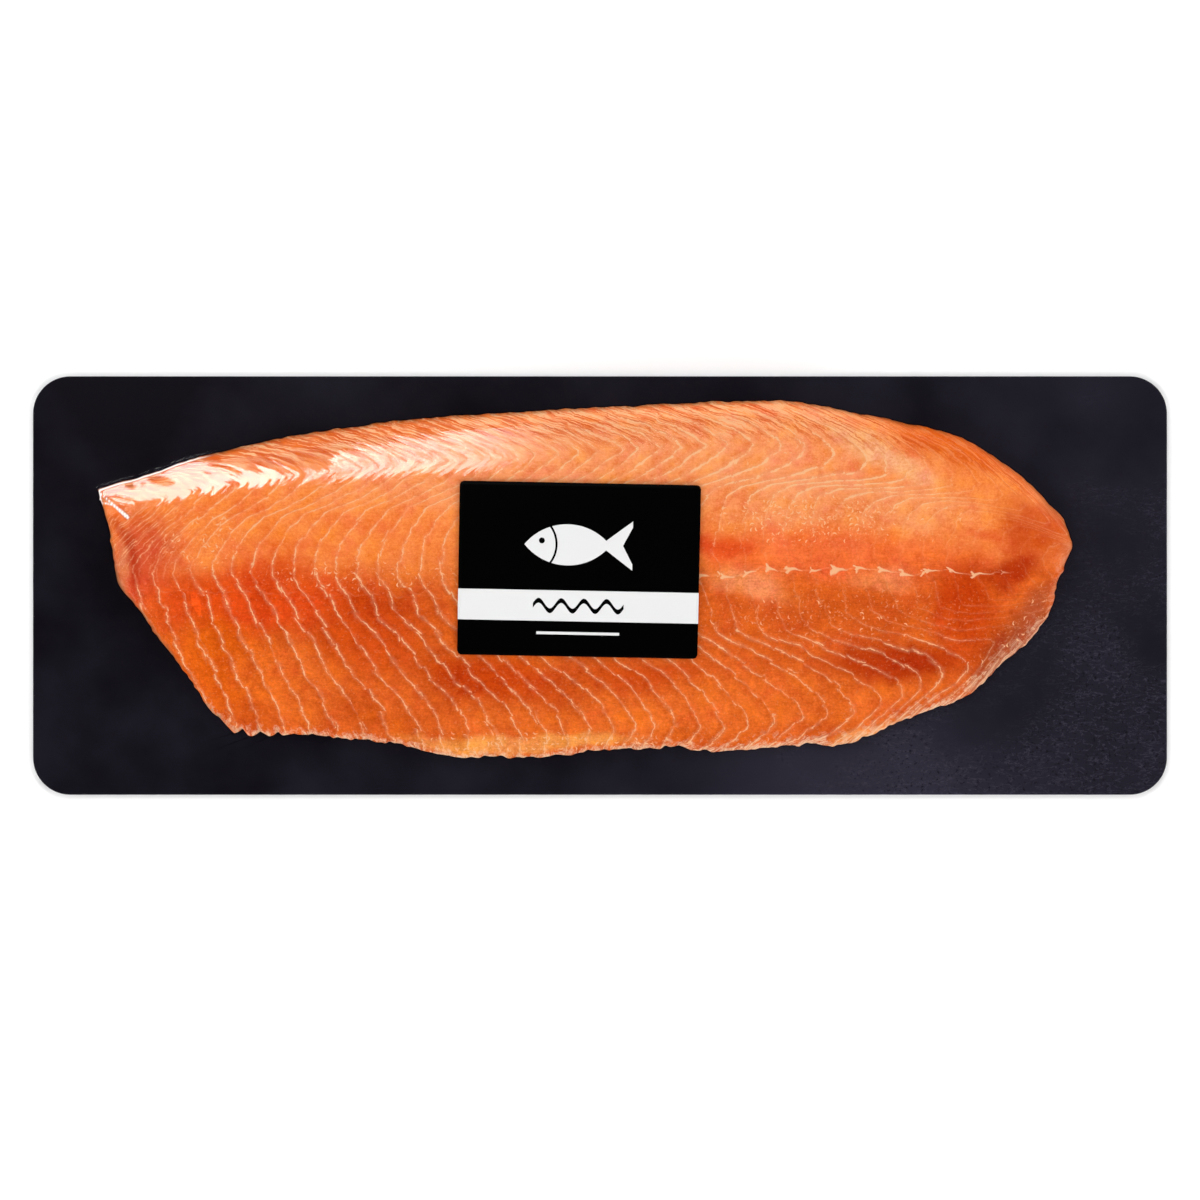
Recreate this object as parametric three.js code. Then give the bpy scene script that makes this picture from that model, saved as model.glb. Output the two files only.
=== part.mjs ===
// A whole side of smoked salmon in a vacuum skin pack. The fillet lies skin down on a thin
// dark board, a clear film is drawn down over it and sealed to the board all round, and a
// label is stuck on the film. Millimetres, +Z up. The head end points to -X and the back
// edge to +Y. The origin is the middle of the board's underside.
import * as THREE from 'three';
import { mergeVertices } from 'three/addons/utils/BufferGeometryUtils.js';

// Board
const BOARD_LENGTH = 580;
const BOARD_WIDTH = 214;
const BOARD_THICKNESS = 2;
const BOARD_CORNER = 19;
const BOARD_ARC_STEPS = 10;

// Fillet, in plan: where each edge runs, as [station, offset] pairs
const HEAD_TIP = [-257, 49];
const HEAD_HEEL = [-187, -73];
const TAIL_TOP = [231, 41];
const TAIL_HEEL = [204, -41.5];
const BACK_EDGE = [HEAD_TIP, [-230, 57], [-205, 65.5], [-123, 81.5], [-41, 88.5], [41, 92.8],
  [95, 94], [150, 84], [188, 74], [201, 66], [216, 55.5], TAIL_TOP, [250, 24]];
const BELLY_EDGE = [[-257, -66], HEAD_HEEL, [-140, -76.5], [-98, -82], [-78, -86.5], [-50, -87.8],
  [-18, -86.3], [0, -84], [38, -82.2], [60, -83.5], [105, -81.5], [128, -80.5], [143, -74.5],
  [170, -62.8], [183, -59.5], TAIL_HEEL, [250, -2]];
const PIN_BONE_LINE = [[-257, -1], [-100, -5], [0, 2], [100, 8], [200, 6], [250, 8]];
const HEAD_CUT = [[-73, -187], [-64, -198.5], [-41, -214], [-24, -227.5], [-10, -237.5],
  [0, -245], [8, -247.5], [33, -252], [49, -257]];
const TAIL_END = [[-41.5, 204], [-18, 227.5], [5, 234.5], [20, 241], [32, 238.5], [41, 231]];

// Fillet, in height
const FILLET_HEIGHT = 25;
const EDGE_WALL = 1.2;
// Share of the height along the length, and across it from belly edge -1 over the pin bones
// 0 to back edge 1
const HEIGHT_ALONG = [[-257, 0.74], [-200, 0.92], [-100, 1], [50, 0.98], [130, 0.86], [190, 0.68],
  [245, 0.52]];
const HEIGHT_ACROSS = [[-1, 0.2], [-0.75, 0.33], [-0.45, 0.56], [-0.2, 0.73], [0, 0.8],
  [0.25, 0.9], [0.5, 0.985], [0.66, 1], [0.76, 0.95], [0.85, 0.87], [0.92, 0.79], [1, 0.68]];
const GROOVE_DEPTH = 0.9;
const GROOVE_HALF_WIDTH = 7;
const BACK_ROUNDING = 9;
const BELLY_ROUNDING = 5;
const HEAD_ROUNDING = 14;
const TAIL_ROUNDING = 10;
const COLUMNS = 60;
const ROWS = 18;

// Film
const FILM_GAP = 0.3;
const FILM_THICKNESS = 0.3;
const FILM_SIDE_GAP = 0.3;
const FILM_TENT = 2.6;
const FILM_INSET = 0.8;

// Label
const LABEL_LENGTH = 122;
const LABEL_WIDTH = 88;
const LABEL_THICKNESS = 0.35;
const LABEL_CORNER = 2;
const LABEL_CENTRE = new THREE.Vector2(-10.7, 7.8);
const LABEL_TURN = THREE.MathUtils.degToRad(-1.1);
const LABEL_CLEARANCE = 0.55;
const LABEL_COLUMNS = 14;
const LABEL_ROWS = 10;

// A smooth curve through [station, value] pairs, as a function of the station.
function through(pairs) {
  const stations = pairs.map((pair) => pair[0]);
  const values = pairs.map((pair) => pair[1]);
  const curve = new THREE.CubicInterpolant(stations, values, 1);
  return (station) => curve.evaluate(station)[0];
}

const backEdge = through(BACK_EDGE);
const bellyEdge = through(BELLY_EDGE);
const pinBoneLine = through(PIN_BONE_LINE);
const headCut = through(HEAD_CUT);
const tailEnd = through(TAIL_END);
const heightAlong = through(HEIGHT_ALONG);
const heightAcross = through(HEIGHT_ACROSS);

// How far a point that is `offset` beside the curve really lies from it, as it slopes.
function squareDistance(curve, station, offset) {
  const step = 1;
  const slope = (curve(station + step) - curve(station - step)) / (2 * step);
  return Math.max(offset, 0) / Math.hypot(1, slope);
}

// A quarter round: 0 at the edge, 1 from `radius` inwards.
function rounding(distance, radius) {
  const inwards = Math.min(distance / radius, 1);
  return Math.sqrt(1 - (1 - inwards) ** 2);
}

// The flesh's height over the board at a point in plan, without the pin-bone groove.
function crown(x, y) {
  const middle = pinBoneLine(x);
  const reach = y > middle ? backEdge(x) - middle : middle - bellyEdge(x);
  const across = THREE.MathUtils.clamp((y - middle) / reach, -1, 1);
  const edges = rounding(squareDistance(backEdge, x, backEdge(x) - y), BACK_ROUNDING)
    * rounding(squareDistance(bellyEdge, x, y - bellyEdge(x)), BELLY_ROUNDING)
    * rounding(squareDistance(headCut, y, x - headCut(y)), HEAD_ROUNDING)
    * rounding(squareDistance(tailEnd, y, tailEnd(y) - x), TAIL_ROUNDING);
  const body = FILLET_HEIGHT * heightAlong(x) * heightAcross(across) - EDGE_WALL;
  return EDGE_WALL + body * edges;
}

// The flesh's height with the shallow groove along the line of the pin bones.
function fleshHeight(x, y) {
  const aside = (y - pinBoneLine(x)) / GROOVE_HALF_WIDTH;
  const depth = GROOVE_DEPTH * Math.exp(-aside * aside);
  return Math.max(crown(x, y) - depth, EDGE_WALL);
}

// How much further a vertical lift has to reach to give the same gap square to a slope.
function steepness(x, y) {
  const step = 0.5;
  const slopeX = (fleshHeight(x + step, y) - fleshHeight(x - step, y)) / (2 * step);
  const slopeY = (fleshHeight(x, y + step) - fleshHeight(x, y - step)) / (2 * step);
  return Math.min(Math.hypot(1, slopeX, slopeY), 3);
}

// Points in plan between the four edges, blended as a Coons patch: u runs from the head cut
// to the tail, v from the belly edge to the back edge.
function planPoint(u, v) {
  const belly = new THREE.Vector2(THREE.MathUtils.lerp(HEAD_HEEL[0], TAIL_HEEL[0], u), 0);
  belly.y = bellyEdge(belly.x);
  const back = new THREE.Vector2(THREE.MathUtils.lerp(HEAD_TIP[0], TAIL_TOP[0], u), 0);
  back.y = backEdge(back.x);
  const head = new THREE.Vector2(0, THREE.MathUtils.lerp(HEAD_HEEL[1], HEAD_TIP[1], v));
  head.x = headCut(head.y);
  const tail = new THREE.Vector2(0, THREE.MathUtils.lerp(TAIL_HEEL[1], TAIL_TOP[1], v));
  tail.x = tailEnd(tail.y);
  const along = belly.multiplyScalar(1 - v).add(back.multiplyScalar(v));
  const across = head.multiplyScalar(1 - u).add(tail.multiplyScalar(u));
  const low = new THREE.Vector2(...HEAD_HEEL).lerp(new THREE.Vector2(...TAIL_HEEL), u);
  const high = new THREE.Vector2(...HEAD_TIP).lerp(new THREE.Vector2(...TAIL_TOP), u);
  return along.add(across).sub(low.lerp(high, v));
}

// Steps from 0 to 1 that draw together towards both ends.
function easedSteps(count, pull) {
  const steps = [];
  for (let i = 0; i <= count; i += 1) {
    const even = i / count;
    const eased = (1 - Math.cos(Math.PI * even)) / 2;
    steps.push(THREE.MathUtils.lerp(even, eased, pull));
  }
  return steps;
}

const U_STEPS = easedSteps(COLUMNS, 0.5);
const V_STEPS = easedSteps(ROWS, 1);

// Indices of a (COLUMNS + 1) by (ROWS + 1) grid's rim, anticlockwise seen from above.
function rimIndices(columns, rows) {
  const at = (i, j) => j * (columns + 1) + i;
  const rim = [];
  for (let i = 0; i < columns; i += 1) rim.push(at(i, 0));
  for (let j = 0; j < rows; j += 1) rim.push(at(columns, j));
  for (let i = columns; i > 0; i -= 1) rim.push(at(i, rows));
  for (let j = rows; j > 0; j -= 1) rim.push(at(0, j));
  return rim;
}

// Triangles of a grid whose faces look up.
function gridTriangles(columns, rows) {
  const triangles = [];
  for (let j = 0; j < rows; j += 1) {
    for (let i = 0; i < columns; i += 1) {
      const a = j * (columns + 1) + i;
      const b = a + columns + 1;
      triangles.push([a, a + 1, b + 1], [a, b + 1, b]);
    }
  }
  return triangles;
}

// Triangles between two closed loops of equal length: the inner one is walked anticlockwise
// and the faces look up, or outwards if the second loop lies below the first.
function bandTriangles(inner, outer) {
  const triangles = [];
  inner.forEach((a, k) => {
    const next = (k + 1) % inner.length;
    triangles.push([a, outer[k], outer[next]], [a, outer[next], inner[next]]);
  });
  return triangles;
}

const flipped = (triangles) => triangles.map(([a, b, c]) => [a, c, b]);
const shifted = (triangles, by) => triangles.map((triangle) => triangle.map((index) => index + by));
const numbered = (count, from) => Array.from({ length: count }, (_, index) => from + index);

function solid(points, triangles) {
  const geometry = new THREE.BufferGeometry().setFromPoints(points);
  geometry.setIndex(triangles.flat());
  return geometry;
}

// Every plan point of the fillet's grid, belly edge first.
const planGrid = V_STEPS.flatMap((v) => U_STEPS.map((u) => planPoint(u, v)));
const filletRim = rimIndices(COLUMNS, ROWS);

// Moves the fillet's rim outwards in plan by a distance.
function rimOffset(distance) {
  const rim = filletRim.map((index) => planGrid[index]);
  return rim.map((point, k) => {
    const before = rim[(k + rim.length - 1) % rim.length];
    const after = rim[(k + 1) % rim.length];
    const along = after.clone().sub(before).normalize();
    return new THREE.Vector2(point.x + along.y * distance, point.y - along.x * distance);
  });
}

// Brings a point of a rectangle's outline onto the outline with round corners.
function onRoundedRectangle(x, y, halfLength, halfWidth, radius) {
  const corner = new THREE.Vector2(
    Math.sign(x) * (halfLength - radius),
    Math.sign(y) * (halfWidth - radius),
  );
  const aside = new THREE.Vector2(x, y).sub(corner);
  if (aside.x * x < 0 || aside.y * y < 0) return new THREE.Vector2(x, y);
  return corner.add(aside.setLength(Math.min(aside.length(), radius)));
}

// The film's outline, a little inside the board's, one point for each point of the rim.
function filmOutline() {
  const halfLength = BOARD_LENGTH / 2 - FILM_INSET;
  const halfWidth = BOARD_WIDTH / 2 - FILM_INSET;
  const radius = BOARD_CORNER - FILM_INSET;
  return filletRim.map((index) => {
    const column = index % (COLUMNS + 1);
    const row = Math.floor(index / (COLUMNS + 1));
    const x = (column / COLUMNS * 2 - 1) * halfLength;
    const y = (row / ROWS * 2 - 1) * halfWidth;
    return onRoundedRectangle(x, y, halfLength, halfWidth, radius);
  });
}

function boardGeometry() {
  const x = BOARD_LENGTH / 2;
  const y = BOARD_WIDTH / 2;
  const outline = new THREE.Shape();
  outline.moveTo(-x + BOARD_CORNER, -y);
  outline.absarc(x - BOARD_CORNER, -y + BOARD_CORNER, BOARD_CORNER, -Math.PI / 2, 0);
  outline.absarc(x - BOARD_CORNER, y - BOARD_CORNER, BOARD_CORNER, 0, Math.PI / 2);
  outline.absarc(-x + BOARD_CORNER, y - BOARD_CORNER, BOARD_CORNER, Math.PI / 2, Math.PI);
  outline.absarc(-x + BOARD_CORNER, -y + BOARD_CORNER, BOARD_CORNER, Math.PI, Math.PI * 1.5);
  return new THREE.ExtrudeGeometry(outline, {
    depth: BOARD_THICKNESS,
    bevelEnabled: false,
    curveSegments: BOARD_ARC_STEPS,
  });
}

// The flesh: the domed top, a low wall round it and a flat underside on the board.
function filletGeometry() {
  const top = planGrid.map((p) => (
    new THREE.Vector3(p.x, p.y, BOARD_THICKNESS + fleshHeight(p.x, p.y))));
  const foot = filletRim.map((index) => (
    new THREE.Vector3(planGrid[index].x, planGrid[index].y, BOARD_THICKNESS)));
  const footIndices = numbered(foot.length, top.length);
  const underside = THREE.ShapeUtils.triangulateShape(foot, []);
  return solid([...top, ...foot], [
    ...gridTriangles(COLUMNS, ROWS),
    ...bandTriangles(filletRim, footIndices),
    ...shifted(flipped(underside), top.length),
  ]);
}

// One face of the film: over the flesh at a lift, down at its tent's foot, out to the rim.
function filmSheet(lift, overBoard) {
  const over = planGrid.map((p) => {
    const height = fleshHeight(p.x, p.y) + lift * steepness(p.x, p.y);
    return new THREE.Vector3(p.x, p.y, BOARD_THICKNESS + height);
  });
  rimOffset(FILM_SIDE_GAP + lift).forEach((p, k) => {
    over[filletRim[k]].set(p.x, p.y, BOARD_THICKNESS + EDGE_WALL + lift);
  });
  const floor = BOARD_THICKNESS + overBoard;
  const foot = rimOffset(FILM_TENT + lift).map((p) => new THREE.Vector3(p.x, p.y, floor));
  const outline = filmOutline().map((p) => new THREE.Vector3(p.x, p.y, floor));
  return [...over, ...foot, ...outline];
}

// The film: two such faces and the cut edge between them.
function filmGeometry() {
  const under = filmSheet(FILM_GAP, 0);
  const upper = filmSheet(FILM_GAP + FILM_THICKNESS, FILM_THICKNESS);
  const foot = numbered(filletRim.length, planGrid.length);
  const outline = numbered(filletRim.length, planGrid.length + filletRim.length);
  const face = [
    ...gridTriangles(COLUMNS, ROWS),
    ...bandTriangles(filletRim, foot),
    ...bandTriangles(foot, outline),
  ];
  const underOutline = outline.map((index) => index + upper.length);
  return solid([...upper, ...under], [
    ...face,
    ...shifted(flipped(face), upper.length),
    ...bandTriangles(outline, underOutline),
  ]);
}

// Even steps across a length, with one more close to each end for the rounded corner.
function labelSteps(count, length) {
  const inner = length / 2 - LABEL_CORNER;
  const steps = numbered(count - 1, 0).map((k) => THREE.MathUtils.lerp(-inner, inner, k / (count - 2)));
  return [-length / 2, ...steps, length / 2];
}

// The label: a thin sheet that follows the crown and bridges the groove.
function labelGeometry() {
  const plan = labelSteps(LABEL_ROWS, LABEL_WIDTH).flatMap((y) => (
    labelSteps(LABEL_COLUMNS, LABEL_LENGTH).map((x) => (
      onRoundedRectangle(x, y, LABEL_LENGTH / 2, LABEL_WIDTH / 2, LABEL_CORNER)
        .rotateAround(new THREE.Vector2(), LABEL_TURN)
        .add(LABEL_CENTRE)))));
  const filmTop = BOARD_THICKNESS + FILM_GAP + FILM_THICKNESS;
  const sheet = (lift) => plan.map((p) => (
    new THREE.Vector3(p.x, p.y, filmTop + crown(p.x, p.y) + LABEL_CLEARANCE + lift)));
  const face = gridTriangles(LABEL_COLUMNS, LABEL_ROWS);
  const rim = rimIndices(LABEL_COLUMNS, LABEL_ROWS);
  return solid([...sheet(LABEL_THICKNESS), ...sheet(0)], [
    ...face,
    ...shifted(flipped(face), plan.length),
    ...bandTriangles(rim, rim.map((index) => index + plan.length)),
  ]);
}

// A mesh whose corners are shared, so that it is one closed body.
function named(name, geometry, material) {
  geometry.deleteAttribute('normal');
  geometry.deleteAttribute('uv');
  const merged = mergeVertices(geometry);
  merged.computeVertexNormals();
  const mesh = new THREE.Mesh(merged, material);
  mesh.name = name;
  return mesh;
}

const boardMaterial = new THREE.MeshStandardMaterial({
  color: 0x1f1e26,
  roughness: 0.45,
  metalness: 0,
});
const fleshMaterial = new THREE.MeshStandardMaterial({
  color: 0xec7438,
  roughness: 0.4,
  metalness: 0,
});
const filmMaterial = new THREE.MeshStandardMaterial({
  color: 0xf4f6f8,
  roughness: 0.12,
  metalness: 0,
  transparent: true,
  opacity: 0.15,
});
const labelMaterial = new THREE.MeshStandardMaterial({
  color: 0x08080a,
  roughness: 0.5,
  metalness: 0,
});

const pack = new THREE.Group();
pack.add(
  named('board', boardGeometry(), boardMaterial),
  named('salmon_side', filletGeometry(), fleshMaterial),
  named('film', filmGeometry(), filmMaterial),
  named('label', labelGeometry(), labelMaterial),
);

export default pack;
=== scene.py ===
"""A whole side of smoked salmon in a vacuum skin pack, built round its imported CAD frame."""

import math

import bmesh
import bpy
import numpy as np
from bpy.props import FloatProperty, FloatVectorProperty, PointerProperty
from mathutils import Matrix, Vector


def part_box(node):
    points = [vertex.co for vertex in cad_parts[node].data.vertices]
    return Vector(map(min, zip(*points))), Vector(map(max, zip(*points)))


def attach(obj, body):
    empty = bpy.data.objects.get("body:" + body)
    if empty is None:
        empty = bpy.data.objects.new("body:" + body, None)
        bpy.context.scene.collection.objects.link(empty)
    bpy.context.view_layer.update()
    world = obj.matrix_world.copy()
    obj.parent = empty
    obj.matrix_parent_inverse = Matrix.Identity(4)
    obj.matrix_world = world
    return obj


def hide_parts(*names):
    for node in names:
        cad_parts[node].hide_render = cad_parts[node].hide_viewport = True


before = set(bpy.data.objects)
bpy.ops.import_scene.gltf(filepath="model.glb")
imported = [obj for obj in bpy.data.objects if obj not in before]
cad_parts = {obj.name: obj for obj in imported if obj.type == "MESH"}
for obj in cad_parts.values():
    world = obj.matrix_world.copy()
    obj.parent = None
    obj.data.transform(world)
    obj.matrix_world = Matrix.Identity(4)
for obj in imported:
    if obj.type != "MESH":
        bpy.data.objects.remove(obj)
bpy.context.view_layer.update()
BOARD_LOW, BOARD_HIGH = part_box("board")

bl_info = {
    "name": "Smoked Salmon Skin Pack",
    "version": (1, 0, 0),
    "blender": (4, 5, 0),
    "location": "View3D > Sidebar > Salmon Pack",
    "description": "Makes a side of smoked salmon under skin film on its board, with a label",
    "category": "Add Mesh",
}

MM = 0.001
BODY = "root"

# Board, in millimetres
BOARD_TOP = BOARD_HIGH.z / MM
BOARD_LENGTH = (BOARD_HIGH.x - BOARD_LOW.x) / MM
BOARD_WIDTH = (BOARD_HIGH.y - BOARD_LOW.y) / MM
BOARD_CORNER = 19
BOARD_BEVEL = 0.35

# Fillet, in plan and height, in millimetres: the same edges and heights as the frame's solid.
HEAD_TIP = (-257, 49)
HEAD_HEEL = (-187, -73)
TAIL_TOP = (231, 41)
TAIL_HEEL = (204, -41.5)
BACK_EDGE = (HEAD_TIP, (-230, 57), (-205, 65.5), (-123, 81.5), (-41, 88.5), (41, 92.8),
             (95, 94), (150, 84), (188, 74), (201, 66), (216, 55.5), TAIL_TOP, (250, 24))
BELLY_EDGE = ((-257, -66), HEAD_HEEL, (-140, -76.5), (-98, -82), (-78, -86.5), (-50, -87.8),
              (-18, -86.3), (0, -84), (38, -82.2), (60, -83.5), (105, -81.5), (128, -80.5),
              (143, -74.5), (170, -62.8), (183, -59.5), TAIL_HEEL, (250, -2))
PIN_BONE_LINE = ((-257, -1), (-100, -5), (0, 2), (100, 8), (200, 6), (250, 8))
HEAD_CUT = ((-73, -187), (-64, -198.5), (-41, -214), (-24, -227.5), (-10, -237.5), (0, -245),
            (8, -247.5), (33, -252), (49, -257))
TAIL_END = ((-41.5, 204), (-18, 227.5), (5, 234.5), (20, 241), (32, 238.5), (41, 231))
HEIGHT_ALONG = ((-257, 0.74), (-200, 0.92), (-100, 1), (50, 0.98), (130, 0.86), (190, 0.68),
                (245, 0.52))
HEIGHT_ACROSS = ((-1, 0.2), (-0.75, 0.33), (-0.45, 0.56), (-0.2, 0.73), (0, 0.8), (0.25, 0.9),
                 (0.5, 0.985), (0.66, 1), (0.76, 0.95), (0.85, 0.87), (0.92, 0.79), (1, 0.68))
FILLET_HEIGHT = 25
EDGE_WALL = 1.2
GROOVE_DEPTH = 0.9
GROOVE_HALF_WIDTH = 7
BACK_ROUNDING = 9
BELLY_ROUNDING = 5
HEAD_ROUNDING = 14
TAIL_ROUNDING = 10

# Muscle leaves. Each septum, the fat sheet between two leaves, crosses the fillet in a
# zigzag. A sweep gives how far along the fish it has run, in millimetres, at each share of
# the way from the pin bones, 0, to the back edge, 1, or the belly edge, -1.
UPPER_SWEEP = ((0.05, -3.6), (0.12, -6.6), (0.2, -6), (0.3, -3), (0.4, 2.5), (0.5, 11),
               (0.545, 23), (0.62, 38), (0.74, 53.7), (0.8, 47.5), (0.87, 36), (1, 10))
UPPER_SWEEP_HEAD = ((0.12, -1.5), (0.2, 0), (0.3, 4), (0.4, 10), (0.5, 18), (0.62, 29),
                    (0.74, 38), (0.87, 26), (1, 2))
UPPER_SWEEP_TAIL = ((0.1, -2), (0.2, -2.5), (0.35, 1), (0.44, 5), (0.5, 15), (0.53, 33),
                    (0.575, 48.6), (0.62, 58), (0.7, 61), (0.78, 56), (0.87, 45), (1, 15))
SEPTUM_SWEEPS = {
    -235: ((-1, 23), (-0.6, 13), (-0.33, 5), (-0.18, 2.5), (0, 0)) + UPPER_SWEEP_HEAD,
    -173: ((-1, 35), (-0.74, 28.6), (-0.6, 22.5), (-0.47, 18), (-0.33, 12), (-0.18, 6),
           (-0.08, 3), (0, 0)) + UPPER_SWEEP,
    -107: ((-1, 58), (-0.88, 56), (-0.75, 50.6), (-0.64, 44.5), (-0.55, 36), (-0.425, 27.6),
           (-0.32, 20), (-0.24, 14), (-0.125, 2.5), (0, 0)) + UPPER_SWEEP,
    0: ((-1, 52), (-0.93, 60), (-0.87, 64), (-0.8, 61), (-0.7, 54), (-0.6, 46), (-0.5, 35),
        (-0.42, 26), (-0.33, 15), (-0.25, 10), (-0.12, 4), (0, 0)) + UPPER_SWEEP,
    72: ((-1, 45), (-0.9, 62), (-0.84, 71), (-0.78, 70), (-0.7, 64), (-0.6, 54), (-0.51, 40),
         (-0.42, 25), (-0.375, 14), (-0.335, 8), (-0.28, 7), (-0.16, 5), (0, 0)) + UPPER_SWEEP_TAIL,
    160: ((-1, 35), (-0.8, 62), (-0.7, 72), (-0.55, 62), (-0.42, 40), (-0.33, 20), (-0.25, 6),
          (-0.1, 3), (0, 0)) + UPPER_SWEEP_TAIL,
}
LEAF_SPACING_HEAD = 10.7
LEAF_SPACING_TAIL = 12

# Faces along and across the flesh
FLESH_GRID = (410, 190)
FILM_GRID = (290, 120)

# Film: its gap over the flesh, and how far out it stands from the flesh's foot before it lies
# on the board, in general and at the head's tip. Its rings of faces stop at these shares of that
FILM_LIFT = 0.4
FILM_TENT = 0.3
FILM_TENT_HEAD = 1.5
FILM_TENT_STOPS = (0, 0.06, 0.3, 0.65, 1)
FILM_RINGS = 17
FILM_OVER_BOARD = 0.14
FILM_INSET = 0.8
FILM_BACK_ROUNDING = 2.5
FILM_HEAD_ROUNDING = 4
# Folds in the film at the tip of the head, raised and painted white as their highlight: from, to,
# half width
FILM_FOLDS = (
    ((-255.7, 48.3), (-237, 32.5), 1.1),
    ((-259, 46), (-246, 39), 0.5),
    ((-252, 47), (-236, 44), 0.6),
)
# Dips at the tip of the head where the film mirrors nothing bright: middle, reach and turn
FILM_DIPS = (
    ((-239.1, 50.9), (3.6, 1.7), -23),
    ((-222.8, 53.0), (7.2, 2.4), -10),
    ((-232.3, 51.6), (1.1, 0.9), 0),
    ((-250.6, 51.0), (3.2, 1.2), 18),
    ((-243.4, 53.4), (3.2, 1.2), 18),
    ((-230, 56.2), (3.4, 1.4), 18),
    ((-222.2, 58.0), (3, 1.2), 18),
    ((-247, 42), (6, 0.8), -28),
    ((-243, 44.6), (6, 0.7), -20),
)
# The taut band of the film along the back, which mirrors best: its lower and its upper edge
TAUT_LOW = ((-257, 45), (-245, 43), (-227, 42), (-200, 47), (-184, 50), (-168, 51.5),
            (-136, 53), (-117, 55), (-87, 57), (-61, 58), (-20, 63), (25, 69))
TAUT_HIGH = ((-257, 60), (-215, 66), (-202, 62), (-193, 58.6), (-176, 58.6), (-152, 59),
             (-138, 62), (-132, 67), (-112, 71.5), (-102, 74.5), (-87, 77.5), (-66, 80.5),
             (-51, 82.5), (20, 85))

# Label
LABEL_SIZE = (122, 88)
LABEL_THICKNESS = 0.25
LABEL_OVER_CROWN = 1.15
LABEL_CORNER = 2
LABEL_CENTRE = (-10.7, 7.8)
LABEL_TURN = math.radians(-1.1)

# Camera: straight above, as far off as a portrait lens needs for the whole pack
VIEW_WIDTH = 613.75
LENS = 135
SENSOR = 36
CAMERA_AIM = (0, -7.4)

# Lights: panels as name, two corners in metres and radiance; and the fill lights' radiance
PANEL_HEIGHT = 1.22
PANELS = (
    ("head_panel", (-4, 0.45), (-0.6, 6), 5.6),
    ("shoulder_panel", (-0.6, 0.4), (-0.3, 2.2), 6.6),
    ("middle_panel", (-0.3, 0.25), (-0.2, 2.2), 5.2),
    ("belly_panel", (-0.2, 0.2), (-0.07, 2.2), 4.6),
    ("loin_panel", (-0.07, 0.5), (0.06, 1.1), 3.2),
)
FILL_RADIANCE = 5.0
FILL_AWAY = 2.3
FILL_HEIGHT = 1.1
FILL_SIZE = (2.4, 1.5)


def linear(colour):
    """An sRGB hex colour such as #ec7438 as linear red, green and blue."""
    shares = [int(colour[i:i + 2], 16) / 255 for i in (1, 3, 5)]
    return [c / 12.92 if c <= 0.04045 else ((c + 0.055) / 1.055) ** 2.4 for c in shares]


def smooth(value, low, high):
    """0 below low, 1 above high and an even ease between them. Low may be the larger."""
    t = np.clip((value - low) / (high - low), 0, 1)
    return t * t * (3 - 2 * t)


def through(pairs):
    """A smooth curve through (station, value) pairs, as a function of the station."""
    stations, values = np.array(pairs, float).T
    chord = np.diff(values) / np.diff(stations)
    slope = np.concatenate([chord[:1], (chord[1:] + chord[:-1]) / 2, chord[-1:]])

    def curve(station):
        at = np.clip(station, stations[0], stations[-1])
        i = np.clip(np.searchsorted(stations, at) - 1, 0, len(stations) - 2)
        span = stations[i + 1] - stations[i]
        t = (at - stations[i]) / span
        bow = t * (1 - t) * ((1 - t) * (slope[i] - chord[i]) - t * (slope[i + 1] - chord[i])) * span
        return values[i] + (values[i + 1] - values[i]) * t + bow

    return curve


back_edge = through(BACK_EDGE)
belly_edge = through(BELLY_EDGE)
pin_bone_line = through(PIN_BONE_LINE)
head_cut = through(HEAD_CUT)
tail_end = through(TAIL_END)
height_along = through(HEIGHT_ALONG)
height_across = through(HEIGHT_ACROSS)
taut_low = through(TAUT_LOW)
taut_high = through(TAUT_HIGH)


def grain(x, y, size, seed):
    """Smooth noise from -1 to 1 whose lumps are about `size` across."""
    cells = 64
    lattice = np.random.default_rng(seed).uniform(-1, 1, (cells, cells))
    gx, gy = x / size + seed * 7.3, y / size + seed * 3.1
    ix, iy = np.floor(gx).astype(int), np.floor(gy).astype(int)
    tx, ty = smooth(gx - ix, 0, 1), smooth(gy - iy, 0, 1)
    low = lattice[ix % cells, iy % cells] * (1 - tx) + lattice[(ix + 1) % cells, iy % cells] * tx
    up = iy + 1
    high = lattice[ix % cells, up % cells] * (1 - tx) + lattice[(ix + 1) % cells, up % cells] * tx
    return low * (1 - ty) + high * ty


def square_distance(curve, station, offset):
    """How far a point `offset` beside the curve lies from it, as the curve slopes."""
    slope = (curve(station + 1) - curve(station - 1)) / 2
    return np.maximum(offset, 0) / np.hypot(1, slope)


def rounding(distance, radius):
    """A quarter round: 0 at the edge and 1 from `radius` inwards."""
    inwards = np.minimum(distance / radius, 1)
    return np.sqrt(1 - (1 - inwards) ** 2)


def share_across(x, y):
    """Where a point lies: -1 at the belly edge, 0 on the pin bones, 1 at the back edge."""
    middle = pin_bone_line(x)
    reach = np.where(y > middle, back_edge(x) - middle, middle - belly_edge(x))
    return (y - middle) / np.maximum(reach, 1)


def edge_distances(x, y):
    """Distance in plan to the back, the belly, the head's cut and the tail's end, about."""
    return (square_distance(back_edge, x, back_edge(x) - y),
            square_distance(belly_edge, x, y - belly_edge(x)),
            square_distance(head_cut, y, x - head_cut(y)),
            square_distance(tail_end, y, tail_end(y) - x))


def rim_distance(x, y):
    """Distance in plan to the nearest of the four edges, about."""
    return np.minimum.reduce(edge_distances(x, y))


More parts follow.
